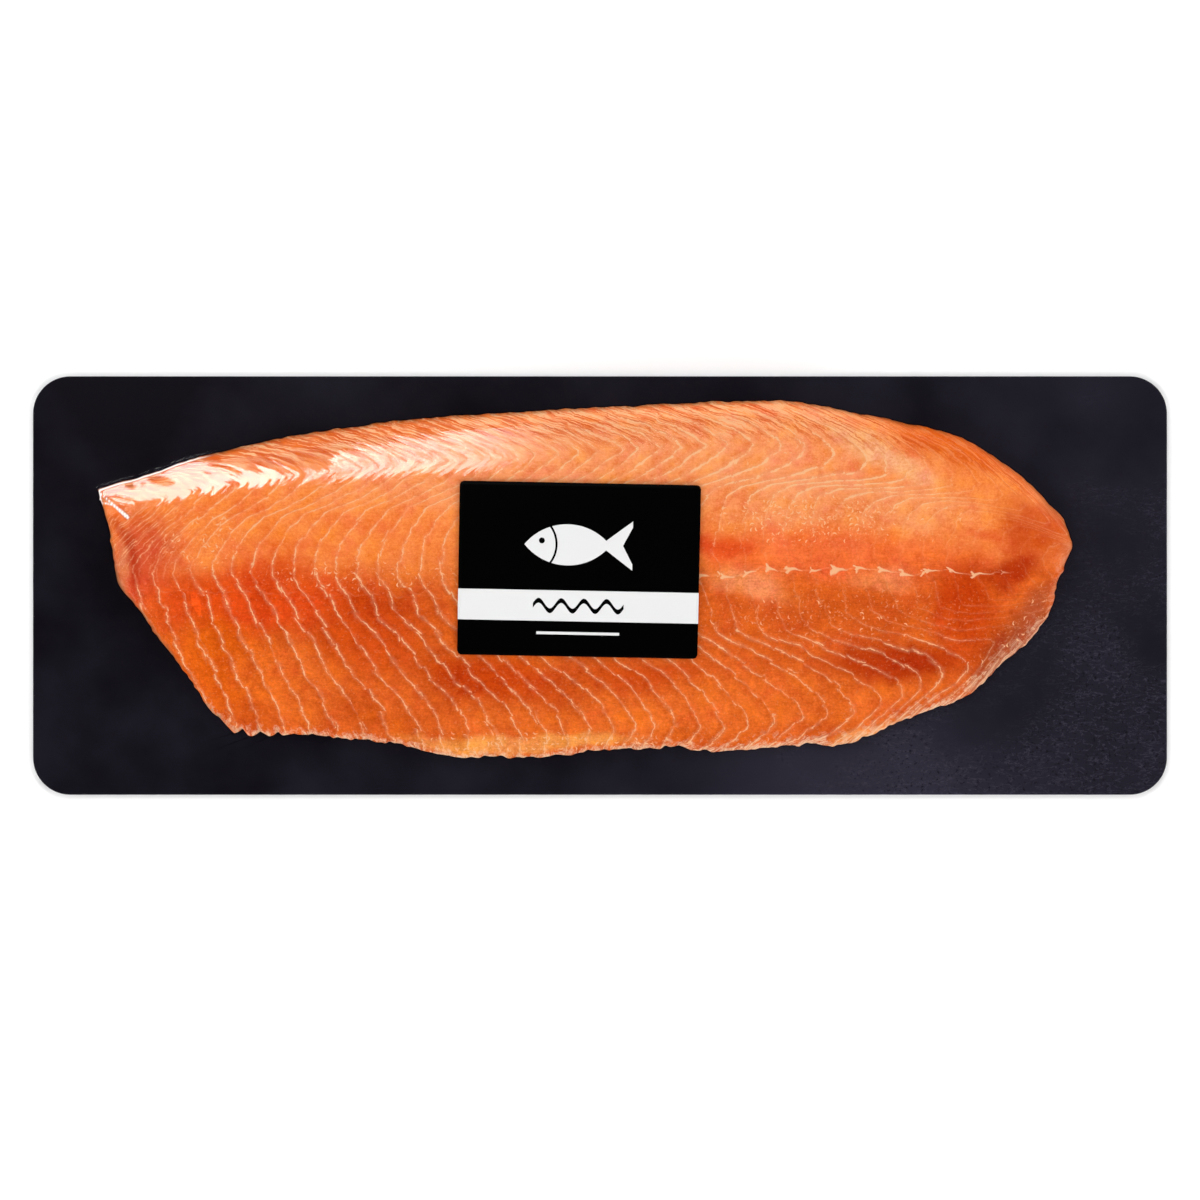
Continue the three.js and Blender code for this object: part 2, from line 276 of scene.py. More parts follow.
def crown(x, y, back_rounding=BACK_ROUNDING, head_rounding=HEAD_ROUNDING):
    """The flesh's height over the board without the pin-bone groove."""
    back, belly, head, tail = edge_distances(x, y)
    edges = (rounding(back, back_rounding) * rounding(belly, BELLY_ROUNDING)
             * rounding(head, head_rounding) * rounding(tail, TAIL_ROUNDING))
    across = np.clip(share_across(x, y), -1, 1)
    body = FILLET_HEIGHT * height_along(x) * height_across(across) - EDGE_WALL
    return EDGE_WALL + body * edges


def flesh_height(x, y, **roundings):
    """The flesh's height with the shallow groove along the line of the pin bones."""
    aside = (y - pin_bone_line(x)) / GROOVE_HALF_WIDTH
    groove = GROOVE_DEPTH * np.exp(-aside * aside)
    return np.maximum(crown(x, y, **roundings) - groove, EDGE_WALL)


def film_height(x, y):
    """The height that the film follows: the flesh's, but it bridges the edges at the head."""
    at_head = smooth(x, -165, -215)
    back = BACK_ROUNDING + (FILM_BACK_ROUNDING - BACK_ROUNDING) * at_head
    head = HEAD_ROUNDING + (FILM_HEAD_ROUNDING - HEAD_ROUNDING) * smooth(y, 5, 35)
    return flesh_height(x, y, back_rounding=back, head_rounding=head)


def plan(u, v):
    """A Coons patch between the edges: u from head cut to tail, v from belly to back."""
    belly_x, belly_y = [HEAD_HEEL[k] + (TAIL_HEEL[k] - HEAD_HEEL[k]) * u for k in (0, 1)]
    back_x, back_y = [HEAD_TIP[k] + (TAIL_TOP[k] - HEAD_TIP[k]) * u for k in (0, 1)]
    head_y = HEAD_HEEL[1] + (HEAD_TIP[1] - HEAD_HEEL[1]) * v
    tail_y = TAIL_HEEL[1] + (TAIL_TOP[1] - TAIL_HEEL[1]) * v
    x = head_cut(head_y) * (1 - u) + tail_end(tail_y) * u
    y = ((belly_edge(belly_x) - belly_y) * (1 - v) + (back_edge(back_x) - back_y) * v
         + head_y * (1 - u) + tail_y * u)
    return x, y


def septum_sweep(start, across):
    """How far the septum that starts at `start` on the pin bones has run along the fish."""
    shares = np.linspace(-1, 1, 401)
    soft = np.exp(-np.linspace(-2, 2, 9) ** 2)
    starts = sorted(SEPTUM_SWEEPS)
    rows = []
    for key in starts:
        at, run = np.array(SEPTUM_SWEEPS[key], float).T
        row = np.interp(shares, at, run)
        rows.append(np.convolve(np.pad(row, 4, "edge"), soft / soft.sum(), "valid"))
    rows = np.array(rows)
    k = np.clip(np.searchsorted(starts, start) - 1, 0, len(starts) - 2)
    t = np.clip((start - np.take(starts, k)) / (np.take(starts, k + 1) - np.take(starts, k)), 0, 1)
    place = (np.clip(across, -1, 1) + 1) / 2 * (len(shares) - 1)
    i = np.clip(place.astype(int), 0, len(shares) - 2)
    f = place - i
    here = rows[k, i] * (1 - f) + rows[k, i + 1] * f
    there = rows[k + 1, i] * (1 - f) + rows[k + 1, i + 1] * f
    return here * (1 - t) + there * t


def leaf_phase(x, y, across):
    """The number of muscle leaves from the middle of the fish: whole numbers are septa."""
    start = x - septum_sweep(x, across)
    for _ in range(8):
        start = 0.4 * start + 0.6 * (x - septum_sweep(start, across))
    spacing = LEAF_SPACING_HEAD + (LEAF_SPACING_TAIL - LEAF_SPACING_HEAD) * smooth(start, -60, 60)
    uneven = 0.16 * grain(x, y, 34, 3) + 0.07 * grain(x, y, 13, 4)
    return start / spacing + uneven


def leaf_reach(x, y):
    """How far apart two septa lie, square to them, in millimetres."""
    step = 0.5
    run = (leaf_phase(x + step, y, share_across(x + step, y))
           - leaf_phase(x - step, y, share_across(x - step, y)))
    rise = (leaf_phase(x, y + step, share_across(x, y + step))
            - leaf_phase(x, y - step, share_across(x, y - step)))
    return np.clip(2 * step / np.maximum(np.hypot(run, rise), 1e-3), 1.5, 13)


def leaf_relief(x, y, phase, across):
    """How much the leaves swell between their septa, and the lumps in the meat, in mm."""
    swell = 0.2 * np.sin(np.pi * phase) ** 2 * smooth(x, 220, 170)
    lumps = 0.25 * grain(x, y, 24, 5) + 0.14 * grain(x, y, 9, 6)
    streaks = 0.2 * grain(phase * 2.6, across * 3, 1, 7) * smooth(across, 0.62, 0.85)
    return (swell + lumps + streaks) * smooth(rim_distance(x, y), 0, 6)


def film_relief(x, y, phase, across):
    """The same as the film shows it: drawn flatter, most of all at the head, and raised in
    its folds, in mm."""
    slack = smooth(x, -175, -40)
    swell = (0.02 + 0.05 * slack) * np.sin(np.pi * phase) ** 2
    lumps = (0.05 + 0.07 * slack) * grain(x, y, 24, 5) + 0.04 * slack * grain(x, y, 9, 6)
    streaks = (0.01 + 0.05 * slack) * grain(phase * 2.6, across * 3, 1, 7)
    relief = (swell + lumps + streaks * smooth(across, 0.62, 0.85))
    return relief * smooth(rim_distance(x, y), 0, 6) + 0.5 * film_folds(x, y)


def film_folds(x, y):
    """1 on the folds that run from the head's tip, tapering out at both ends."""
    folds = np.zeros_like(x)
    for start, end, width in FILM_FOLDS:
        dx, dy = end[0] - start[0], end[1] - start[1]
        length = math.hypot(dx, dy)
        along = ((x - start[0]) * dx + (y - start[1]) * dy) / length
        aside = ((y - start[1]) * dx - (x - start[0]) * dy) / length
        spread = width * (0.35 + 0.75 * np.clip(along / length, 0, 1))
        taper = smooth(along, -1, 3) * smooth(along, length, length - 4)
        folds = np.maximum(folds, taper * np.exp(-np.minimum((aside / spread) ** 2, 50)))
    return folds


def grid_shares(mesh):
    """The shares along and across of a grid made 2 wide round the origin, and its marks."""
    places = np.empty(len(mesh.vertices) * 3)
    mesh.vertices.foreach_get("co", places)
    places = places.reshape(-1, 3)
    return (places[:, 0] + 1) / 2, (places[:, 1] + 1) / 2, places[:, 2]


def set_places(mesh, x, y, z):
    """Puts a mesh's vertices at places given in millimetres."""
    mesh.vertices.foreach_set("co", (np.stack([x, y, z], 1) * MM).ravel())
    mesh.update()


def finished(bm, name):
    """A new object for a bmesh, with smooth faces."""
    mesh = bpy.data.meshes.new(name)
    bm.to_mesh(mesh)
    bm.free()
    mesh.shade_smooth()
    piece = bpy.data.objects.new(name, mesh)
    bpy.context.scene.collection.objects.link(piece)
    return piece


def adopt(piece, node, material):
    """Puts a piece in the place of its CAD node."""
    piece.data.materials.clear()
    piece.data.materials.append(material)
    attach(piece, BODY)
    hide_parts(node)


def write_layout(mesh, name, across, up):
    """Gives a mesh a UV map from two numbers for each vertex."""
    corners = np.empty(len(mesh.loops), np.int32)
    mesh.loops.foreach_get("vertex_index", corners)
    pairs = np.stack([across, up], 1)[corners]
    layout = mesh.uv_layers.new(name=name)
    layout.data.foreach_set("uv", pairs.astype(np.float32).ravel())


def write_points(mesh, name, values):
    """Stores one number, or one linear colour, for each vertex."""
    kind, key = ("FLOAT", "value") if values.ndim == 1 else ("FLOAT_COLOR", "color")
    attribute = mesh.attributes.new(name, kind, "POINT")
    attribute.data.foreach_set(key, values.astype(np.float32).ravel())


def node_adder(tree):
    """Empties a node tree, and gives the one function that adds nodes to it."""
    tree.nodes.clear()

    def add(kind, inputs=(), operation=None, **settings):
        """Adds a node. Its inputs are a list in the node's own order, or go by their names.
        An input is a value, a socket, or a node, which gives its first output."""
        node = tree.nodes.new("ShaderNode" + kind)
        if operation:
            node.operation = operation
        for name, value in settings.items():
            setattr(node, name, value)
        in_use = [socket for socket in node.inputs if socket.enabled]
        if isinstance(inputs, dict):
            names = [socket.name for socket in in_use]
            pairs = [(in_use[names.index(name)], value) for name, value in inputs.items()]
        else:
            pairs = zip(in_use, inputs)
        for socket, value in pairs:
            if isinstance(value, bpy.types.Node):
                value = next(output for output in value.outputs if output.enabled)
            if isinstance(value, bpy.types.NodeSocket):
                tree.links.new(value, socket)
            else:
                socket.default_value = value
        return node

    return add


def new_material(name):
    """An empty node material, and the function that adds nodes to it."""
    material = bpy.data.materials.new(name)
    material.use_nodes = True
    return material, node_adder(material.node_tree)


# Tones of the flesh, from pale to dark
TONES = {
    "cream": "#ffcb98",
    "honey": "#ffa956",
    "peach": "#ff9c64",
    "bright orange": "#ff8940",
    "coral": "#fd723a",
    "orange": "#f1722a",
    "amber": "#e66009",
    "vermilion": "#e4420e",
    "rose": "#db5131",
    "brick": "#cb3e0a",
    "clay": "#d8754a",
    "mauve": "#98402b",
    "dark red": "#b02706",
}

# Fields of tone in the flesh: what they are, then the middle, the half length and the half width in
# millimetres, the turn in degrees, the tone, and how strong and how hard edged. Two of them are
# painted light, as marked.
TONE_FIELDS = (
    ("shoulder", (-153, 33), (97, 19), 2, "bright orange", 0.9, 3),
    ("back behind the label", (20, 67), (153, 22), 4, "peach", 0.85, 3),
    ("loin", (120, 39), (59, 13), 0, "peach", 0.85, 3),
    ("loin beside the pin bones", (118, 15), (77, 11), -2, "coral", 0.8, 3),
    ("back edge at the tail", (169, 81), (55, 12), -26, "amber", 1.0, 4),
    ("back edge at the head", (-153, 72), (97, 8), 12, "amber", 0.8, 4),
    ("head", (-233, 13), (17, 23), -20, "rose", 0.9, 3),
    ("groove before the label", (-174, -6), (51, 17), 0, "vermilion", 0.8, 3),
    ("flank before the label", (-115, -23), (28, 17), 0, "brick", 0.75, 3),
    ("lower shoulder", (-189, -42), (31, 20), -30, "amber", 0.8, 3),
    ("belly before the label", (-160, -51), (26, 17), -20, "orange", 0.6, 3),
    ("belly below the label, left", (-54, -47), (36, 9), -5, "brick", 0.85, 3),
    ("belly below the label, right", (28, -48), (31, 7), 0, "brick", 0.7, 3),
    ("belly flap", (-20, -70), (56, 10), 0, "orange", 0.5, 3),
    ("belly rim", (-41, -80), (56, 5), 0, "honey", 0.7, 4),
    ("beside the label", (57, 20), (17, 6), 0, "vermilion", 0.75, 3),
    ("pale meat on the pin bones", (78, 0), (16, 6), -10, "peach", 0.9, 1.5),
    # Painted highlight: a pale cream strip where the film glints on the back
    ("pale strip on the back", (140, 69), (30, 5), -24, "cream", 0.6, 2),
    ("pale meat further back", (143, 4), (12, 5), 0, "peach", 0.6, 2),
    ("belly behind the label", (87, -59), (72, 15), 4, "orange", 0.7, 3),
    ("dark belly", (153, -38), (32, 9), 0, "dark red", 0.85, 3),
    ("before the tail", (185, -10), (14, 24), 0, "brick", 0.85, 3),
    ("tail's middle", (209, 8), (13, 7), 0, "dark red", 0.9, 3),
    ("tail's corner", (223, 28), (18, 18), 0, "brick", 0.8, 3),
    ("tail's rim", (210, -28), (32, 10), 52, "mauve", 0.75, 3),
    ("belly's rim at the tail", (137, -76), (19, 4), 18, "honey", 0.6, 2),
    ("crease before the tail", (193, 26), (2.5, 12), 80, "vermilion", 0.5, 2),
    # Painted shade: a dark red fold in the head where the flesh dips
    ("fold in the head", (-241, 16), (21, 3.5), -65, "dark red", 0.75, 2),
    ("flap at the head", (-244, 9), (13, 3), -68, "clay", 0.9, 2),
    ("tab at the tail", (238, 15), (5, 5), 0, "clay", 0.7, 3),
)

# Fields with fine pale flecks of fat or albumen, in the same form without a tone
FLECK_FIELDS = (
    ("loin", (104, 34), (36, 11), 0, 1.1, 2),
    ("loin towards the tail", (160, 34), (34, 14), 0, 0.3, 3),
    ("belly rim", (-20, -80), (97, 5), 0, 0.6, 3),
    ("back behind the label", (82, 67), (61, 13), 0, 0.25, 3),
    ("shoulder", (-200, 24), (20, 14), 0, 0.6, 2),
    ("over the pin bones", (-120, 4), (52, 7), 0, 0.5, 3),
    ("flank behind the label", (120, -16), (62, 14), 0, 0.35, 3),
    ("tail's rim", (210, -28), (32, 10), 52, 0.4, 3),
)

# The field at the head where finer septa fan out: middle, reach, turn and hardness
FAN_FIELD = ((-232, 27), (25, 18), -10, 2)

# Fields where the septa show more, above 1, or less, below 1
FAT_FIELDS = (
    ("loin", (123, 11), (77, 28), 0, 0.12, 4),
    ("flank behind the label", (118, -14), (68, 11), -3, 0.3, 3),
    ("back behind the label", (90, 60), (70, 15), -8, 1.6, 3),
    ("tail", (210, 5), (32, 45), 0, 0.05, 3),
    ("before the tail", (168, -12), (26, 12), 0, 0.2, 3),
    ("top of the shoulder", (-225, 26), (31, 23), 0, 0.5, 3),
    ("shoulder", (-153, 36), (82, 20), 3, 0.85, 3),
    ("belly", (-20, -59), (153, 23), 0, 0.85, 3),
    ("belly behind the label", (110, -52), (60, 18), 0, 0.75, 3),
    ("back edge at the tail", (175, 72), (50, 20), -27, 0.25, 3),
)


def field(x, y, middle, reach, turn, hardness):
    """An oval field: 1 inside, 0 far outside and half way down at its edge."""
    turn = math.radians(turn)
    dx, dy = x - middle[0], y - middle[1]
    along = (dx * math.cos(turn) + dy * math.sin(turn)) / reach[0]
    aside = (dy * math.cos(turn) - dx * math.sin(turn)) / reach[1]
    beyond = np.minimum((along * along + aside * aside - 1) * hardness, 50)
    return 1 / (1 + np.exp(beyond))


def flesh_tint(x, y, across, upper_colour, lower_colour):
    """The flesh's colour at a place, its own with some painted light and shade, as linear red,
    green, blue and a full alpha.
    """
    wx = x + 5 * grain(x, y, 22, 11) + 2 * grain(x, y, 7, 12)
    wy = y + 4 * grain(x, y, 20, 13) + 1.5 * grain(x, y, 6, 14)
    # The back muscle is lighter than the belly's, partly its own colour and partly painted light
    # from above
    upper = smooth(across, -0.05, 0.3)[:, None]
    tint = np.array([*lower_colour, 1]) * (1 - upper) + np.array([*upper_colour, 1]) * upper
    for _, middle, reach, turn, tone, strength, hardness in TONE_FIELDS:
        share = (strength * field(wx, wy, middle, reach, turn, hardness))[:, None]
        tint = tint * (1 - share) + np.array([*linear(TONES[tone]), 1]) * share
    return tint


def ragged(x, y):
    """How far the trimmed edges wander from their smooth lines, fading inwards: along the
    fish and across it, in mm."""
    along = (1.0 * grain(x, y * 0.2, 11, 21) + 0.7 * grain(x, y * 0.2, 4, 22)
             + 0.6 * grain(x, y * 0.2, 2.2, 23) + 0.2)
    across = (0.9 * grain(x * 0.2, y, 12, 24) + 0.6 * grain(x * 0.2, y, 4.5, 25)
              + 0.4 * grain(x * 0.2, y, 2.2, 26))
    flakes = 2.6 * np.abs(np.sin(np.pi * (x + 0.45 * y) / 9)) * smooth(x, -150, -172)
    back, belly, head, tail = edge_distances(x, y)
    return (across * (np.exp(-tail / 4) - np.exp(-head / 4)),
            0.5 * along * np.exp(-back / 3) - (along + flakes) * np.exp(-belly / 5))


def pressed_by_label(x, y):
    """1 away from the label and small under it, where it holds the film flat."""
    outside = np.maximum(np.abs(x - LABEL_CENTRE[0]) - LABEL_SIZE[0] / 2,
                         np.abs(y - LABEL_CENTRE[1]) - LABEL_SIZE[1] / 2)
    return 0.15 + 0.85 * smooth(outside, -3, 5)


def over_flesh(u, v, height_of, relief_of):
    """Places on the top of the flesh for shares along and across it, in mm."""
    x, y = plan(u, v)
    across = share_across(x, y)
    relief = relief_of(x, y, leaf_phase(x, y, across), across) * pressed_by_label(x, y)
    aside_x, aside_y = ragged(x, y)
    return x + aside_x, y + aside_y, BOARD_TOP + height_of(x, y) + relief


def eased(share, pull):
    """Shares from 0 to 1 drawn together towards both ends."""
    return share * (1 - pull) + (1 - np.cos(np.pi * share)) / 2 * pull


def skirted_grid(columns, rows, rings):
    """A grid from -1 to 1 with rings of faces round it, each marked by standing 1 lower."""
    bm = bmesh.new()
    bmesh.ops.create_grid(bm, x_segments=columns, y_segments=rows, size=1)
    for _ in range(rings):
        rim = [edge for edge in bm.edges if edge.is_boundary]
        grown = bmesh.ops.extrude_edge_only(bm, edges=rim)["geom"]
        corners = [item for item in grown if isinstance(item, bmesh.types.BMVert)]
        bmesh.ops.translate(bm, verts=corners, vec=(0, 0, -1))
    return bm


def on_round_corners(x, y, half_length, half_width, radius):
    """Brings points of a rectangle onto the same one with round corners."""
    cx, cy = np.sign(x) * (half_length - radius), np.sign(y) * (half_width - radius)
    dx, dy = x - cx, y - cy
    in_corner = (dx * x > 0) & (dy * y > 0)
    away = np.maximum(np.hypot(dx, dy), 1e-9)
    shrink = np.where(in_corner, np.minimum(radius / away, 1), 1)
    return np.where(in_corner, cx + dx * shrink, x), np.where(in_corner, cy + dy * shrink, y)


def make_fillet(settings):
    """The side of salmon, flesh up: a domed closed body on the board."""
    bm = skirted_grid(*FLESH_GRID, 1)
    rim = [edge for edge in bm.edges if edge.is_boundary]
    bmesh.ops.contextual_create(bm, geom=rim)
    bmesh.ops.recalc_face_normals(bm, faces=bm.faces)
    piece = finished(bm, "salmon_flesh")
    mesh = piece.data
    u, v, mark = grid_shares(mesh)
    u, v = eased(u, 0.5), eased(v, 0.85)
    x, y, z = over_flesh(u, v, flesh_height, leaf_relief)
    z[mark < -0.5] = BOARD_TOP
    set_places(mesh, x, y, z)

    x, y = plan(u, v)
    across = share_across(x, y)
    write_layout(mesh, "leaves", leaf_phase(x, y, across), across)
    flecks, fat = np.zeros(len(x)), np.ones(len(x))
    for _, middle, reach, turn, strength, hardness in FLECK_FIELDS:
        flecks += strength * field(x, y, middle, reach, turn, hardness)
    for _, middle, reach, turn, strength, hardness in FAT_FIELDS:
        share = field(x, y, middle, reach, turn, hardness)
        fat = fat * (1 - share) + strength * share
    write_points(mesh, "tint", flesh_tint(x, y, across, settings.upper, settings.lower))
    write_points(mesh, "flecks", flecks)
    write_points(mesh, "fat", fat)
    write_points(mesh, "fan", field(x, y, *FAN_FIELD))
    write_points(mesh, "reach", leaf_reach(x, y))
    write_points(mesh, "rim", rim_distance(x, y))
    adopt(piece, "salmon_side", flesh_material(settings))


def flesh_material(settings):
    """Cold-smoked salmon, cured and trimmed: moist orange muscle in leaves with pale fat
    between them, so it has thin wandering lines, soft blotches and a fine grain."""
    material, add = new_material("cold_smoked_salmon_trimmed")
    place = add("TexCoord").outputs["Object"]
    along = add("SeparateXYZ", [place]).outputs["X"]
    leaf, across = add("SeparateXYZ", [add("UVMap", uv_map="leaves")]).outputs[:2]
    tint = add("Attribute", attribute_name="tint").outputs["Color"]
    fat, flecks, rim, reach, fan = [add("Attribute", attribute_name=name).outputs["Fac"]
                                    for name in ("fat", "flecks", "rim", "reach", "fan")]
    noise = {}
    for name, size, detail, roughness, distortion in (
            ("bend", 7, 3, 0.5, 0), ("nicks", 1.3, 2, 0.5, 0), ("swell", 4, 4, 0.6, 0),
            ("breaks", 6, 5, 0.75, 0), ("stray", 14, 2, 0.5, 0), ("clouds", 26, 3, 0.6, 0),
            ("blotches", 6, 5, 0.7, 0.8), ("pores", 1.1, 2, 0.6, 0), ("warmth", 12, 5, 0.65, 0),
            ("specks", 1.5, 3, 0.7, 0)):
        noise[name] = add("TexNoise", {"Vector": place, "Scale": 1 / (size * MM), "Detail": detail,
                                       "Roughness": roughness, "Distortion": distortion})

    # Leaf numbers that wander, are nicked, and slip a little from one patch to the next
    patch = add("TexVoronoi", {"Vector": place, "Scale": 1 / (10 * MM)})
    slip = add("SeparateColor", [patch.outputs["Color"]])
    bent = leaf
    for shift, most in ((noise["bend"], 0.45), (noise["nicks"], 0.14), (slip, 0.2)):
        shift = add("Math", [shift, 0.5], "SUBTRACT")
        bent = add("Math", [shift, most, bent], "MULTIPLY_ADD")

    # Septa: the distance in mm from the nearest whole leaf number
    from_septum = add("Math", [bent, 0.5], "PINGPONG")
    from_septum = add("Math", [from_septum, reach], "MULTIPLY")
    from_septum = add("Math", [from_septum, add("Math", [fat, 0.7], "MAXIMUM")], "DIVIDE")
    width = add("MapRange", [noise["swell"], 0.36, 0.66, 0.32, 0.88])
    width = add("Math", [width, add("MapRange", [reach, 1.5, 6, 0.5, 1])], "MULTIPLY")
    core = add("MapRange", [from_septum, 0.1, width, 1, 0], interpolation_type="SMOOTHSTEP")
    breaks = add("MapRange", [noise["breaks"], 0.4, 0.54, 0.12, 1])
    core = add("Math", [core, breaks], "MULTIPLY")
    halo = add("MapRange", [from_septum, 0, 2, 0.2, 0], interpolation_type="SMOOTHSTEP")
    finer = add("Math", [add("Math", [bent, 2.5], "MULTIPLY"), 0.5], "PINGPONG")
    finer = add("MapRange", [finer, 0.03, 0.13, 0.8, 0])
    for share in (fan, breaks):
        finer = add("Math", [finer, share], "MULTIPLY")
    line = add("Math", [add("Math", [core, halo], "MAXIMUM"), finer], "MAXIMUM")
    line = add("Math", [line, fat], "MULTIPLY", use_clamp=True)

    # Where the pin bones were drawn: a pale three-armed mark on each septum, and a thread
    aside = add("Math", [add("Math", [bent, 0.5], "ADD")], "FRACT")
    bone_x = add("Math", [aside, 12.0, -6.0], "MULTIPLY_ADD")
    bone_y = add("Math", [across, 80.0, -4.5], "MULTIPLY_ADD")
    bone_y = add("Math", [noise["stray"], 9.0, bone_y], "MULTIPLY_ADD")
    mark = add("CombineXYZ", [bone_x, bone_y])
    off_arms = 100.0
    for angle, length in ((-4, 6.5), (130, 1.8), (215, 2.4)):
        turned = add("VectorRotate", {"Vector": mark, "Angle": -math.radians(angle)},
                     rotation_type="Z_AXIS")
        arm_x, arm_y = add("SeparateXYZ", [turned]).outputs[:2]
        beyond = add("Math", [add("Math", [arm_x, length / 2], "SUBTRACT")], "ABSOLUTE")
        beyond = add("Math", [add("Math", [beyond, length / 2], "SUBTRACT"), 0.0], "MAXIMUM")
        off_arm = add("VectorMath", [add("CombineXYZ", [beyond, arm_y])], "LENGTH")
        off_arm = add("Math", [arm_x, 0.13, off_arm.outputs["Value"]], "MULTIPLY_ADD")
        off_arms = add("Math", [off_arm, off_arms], "MINIMUM")
    bone = add("MapRange", [off_arms, 0.55, 1.05, 1, 0])
    thread = add("MapRange", [add("Math", [bone_y], "ABSOLUTE"), 0.1, 0.6, 0.25, 0])
    bone = add("Math", [bone, add("Math", [thread, breaks], "MULTIPLY")], "MAXIMUM")
    clear_bones = add("MapRange", [along, -0.02, 0.02, 0.12])
    boned = add("MapRange", [along, 0.2, 0.21, 1, 0])
    for share in (clear_bones, boned):
        bone = add("Math", [bone, share], "MULTIPLY")

    # Muscle: each leaf its own tone, with a painted shade that darkens it under the next leaf's
    # edge, with fibres that run along the fish, blotches and pores. They change the green and the
    # blue more than the red.
    own = add("TexWhiteNoise", {"W": add("Math", [bent], "FLOOR")}, noise_dimensions="1D")
    own = add("MapRange", [own.outputs["Value"], 0, 1, -0.06, 0.06])
    # Painted shade: each leaf grows darker towards the septum ahead of it, as if under the edge of
    # the next leaf
    under = add("MapRange", [add("Math", [bent], "FRACT"), 0.45, 0.95, 0.05, -0.14])
    shade = add("Math", [own, under], "ADD")
    shade = add("Math", [shade, add("Math", [fat, 1.0], "MINIMUM")], "MULTIPLY")
    drawn = add("VectorMath", [place, (1 / (5 * MM), 1 / (0.9 * MM), 1 / (3 * MM))], "MULTIPLY")
    fibres = add("TexNoise", {"Vector": drawn, "Scale": 1, "Detail": 3, "Roughness": 0.6,
                              "Distortion": 0.6})
    for layer, strength in ((noise["clouds"], 1.0), (noise["blotches"], 1.1), (fibres, 0.55),
                            (noise["pores"], 0.8)):
        layer = add("Math", [layer, 0.5], "SUBTRACT")
        shade = add("Math", [layer, strength, shade], "MULTIPLY_ADD")
    upper = add("MapRange", [across, -0.05, 0.2])
    lift = add("Mix", [upper, (0.6, 1.0, 1.4), (0.25, 0.85, 1.5)], data_type="VECTOR")
    lift = add("VectorMath", [lift, shade, (1, 1, 1)], "MULTIPLY_ADD")
    muscle = add("VectorMath", [tint, lift], "MULTIPLY")
    for low, high, factors in ((0.5, 0.68, (1.03, 1.06, 0.62)), (0.48, 0.32, (0.98, 0.8, 1.05))):
        share = add("MapRange", [noise["warmth"], low, high, 0, 0.8])
        shifted = add("VectorMath", [muscle, factors], "MULTIPLY")
        muscle = add("Mix", [share, muscle, shifted], data_type="RGBA")

    # Streaks on the back, drawn out along the leaves: deep ones, and pale wisps that are partly the
    # streaked meat and partly a painted sheen
    drawn = add("VectorMath", [add("CombineXYZ", [bent, across]), (5, 12, 0)], "MULTIPLY")
    streak = add("TexNoise", {"Vector": drawn, "Scale": 1, "Detail": 3, "Roughness": 0.65,
                              "Distortion": 0.5})
    on_back = add("MapRange", [across, 0.72, 0.88])
    not_tail = add("MapRange", [along, 0.07, 0.14, 1, 0.25])
    deep = add("MapRange", [streak, 0.5, 0.38])
    deep = add("Math", [deep, on_back], "MULTIPLY")
    # Pale wisps: partly the meat's own streaks, partly a painted sheen on the back
    wisp_and_sheen = add("MapRange", [streak, 0.52, 0.58, 0, 0.95])
    for share in (on_back, not_tail):
        wisp_and_sheen = add("Math", [wisp_and_sheen, share], "MULTIPLY")
    muscle = add("Mix", [deep, muscle, (*settings.streak, 1)], data_type="RGBA")

    # Curls of fat: a short bent stroke in some cells of a loose pattern. And pale specks
    cell = add("TexVoronoi", {"Vector": place, "Scale": 1 / (2.8 * MM)}, voronoi_dimensions="2D")
    chance = add("SeparateColor", [cell.outputs["Color"]])
    turn = add("Math", [chance.outputs["Red"], math.tau], "MULTIPLY")
    stroke = add("VectorMath", [place, cell.outputs["Position"]], "SUBTRACT")
    stroke = add("VectorRotate", {"Vector": stroke, "Angle": turn}, rotation_type="Z_AXIS")
    stroke_x, stroke_y = add("SeparateXYZ", [stroke]).outputs[:2]
    bow = add("Math", [stroke_x, 2.0], "POWER")
    stroke_y = add("Math", [bow, -450.0, stroke_y], "MULTIPLY_ADD")
    stroke = add("CombineXYZ", [stroke_x, stroke_y])
    stroke = add("VectorMath", [stroke, (1 / (1.3 * MM), 1 / (0.38 * MM), 0)], "MULTIPLY")
    off_stroke = add("VectorMath", [stroke], "LENGTH").outputs["Value"]
    curl = add("MapRange", [off_stroke, 0.6, 1.2, 1, 0])
    dense = add("Math", [flecks, breaks], "MULTIPLY")
    dense = add("Math", [dense, chance.outputs["Green"]], "SUBTRACT")
    curl = add("Math", [curl, add("MapRange", [dense, 0, 0.3])], "MULTIPLY")
    speck = add("MapRange", [noise["specks"], 0.59, 0.66, 0, 0.9])
    some = add("Math", [flecks, 0.5, 0.14], "MULTIPLY_ADD")
    speck = add("Math", [speck, some], "MULTIPLY", use_clamp=True)
    pale = line
    for layer in (bone, wisp_and_sheen, curl, speck):
        pale = add("Math", [pale, layer], "MAXIMUM")
    pale = add("Math", [pale, 0.92], "MULTIPLY", use_clamp=True)

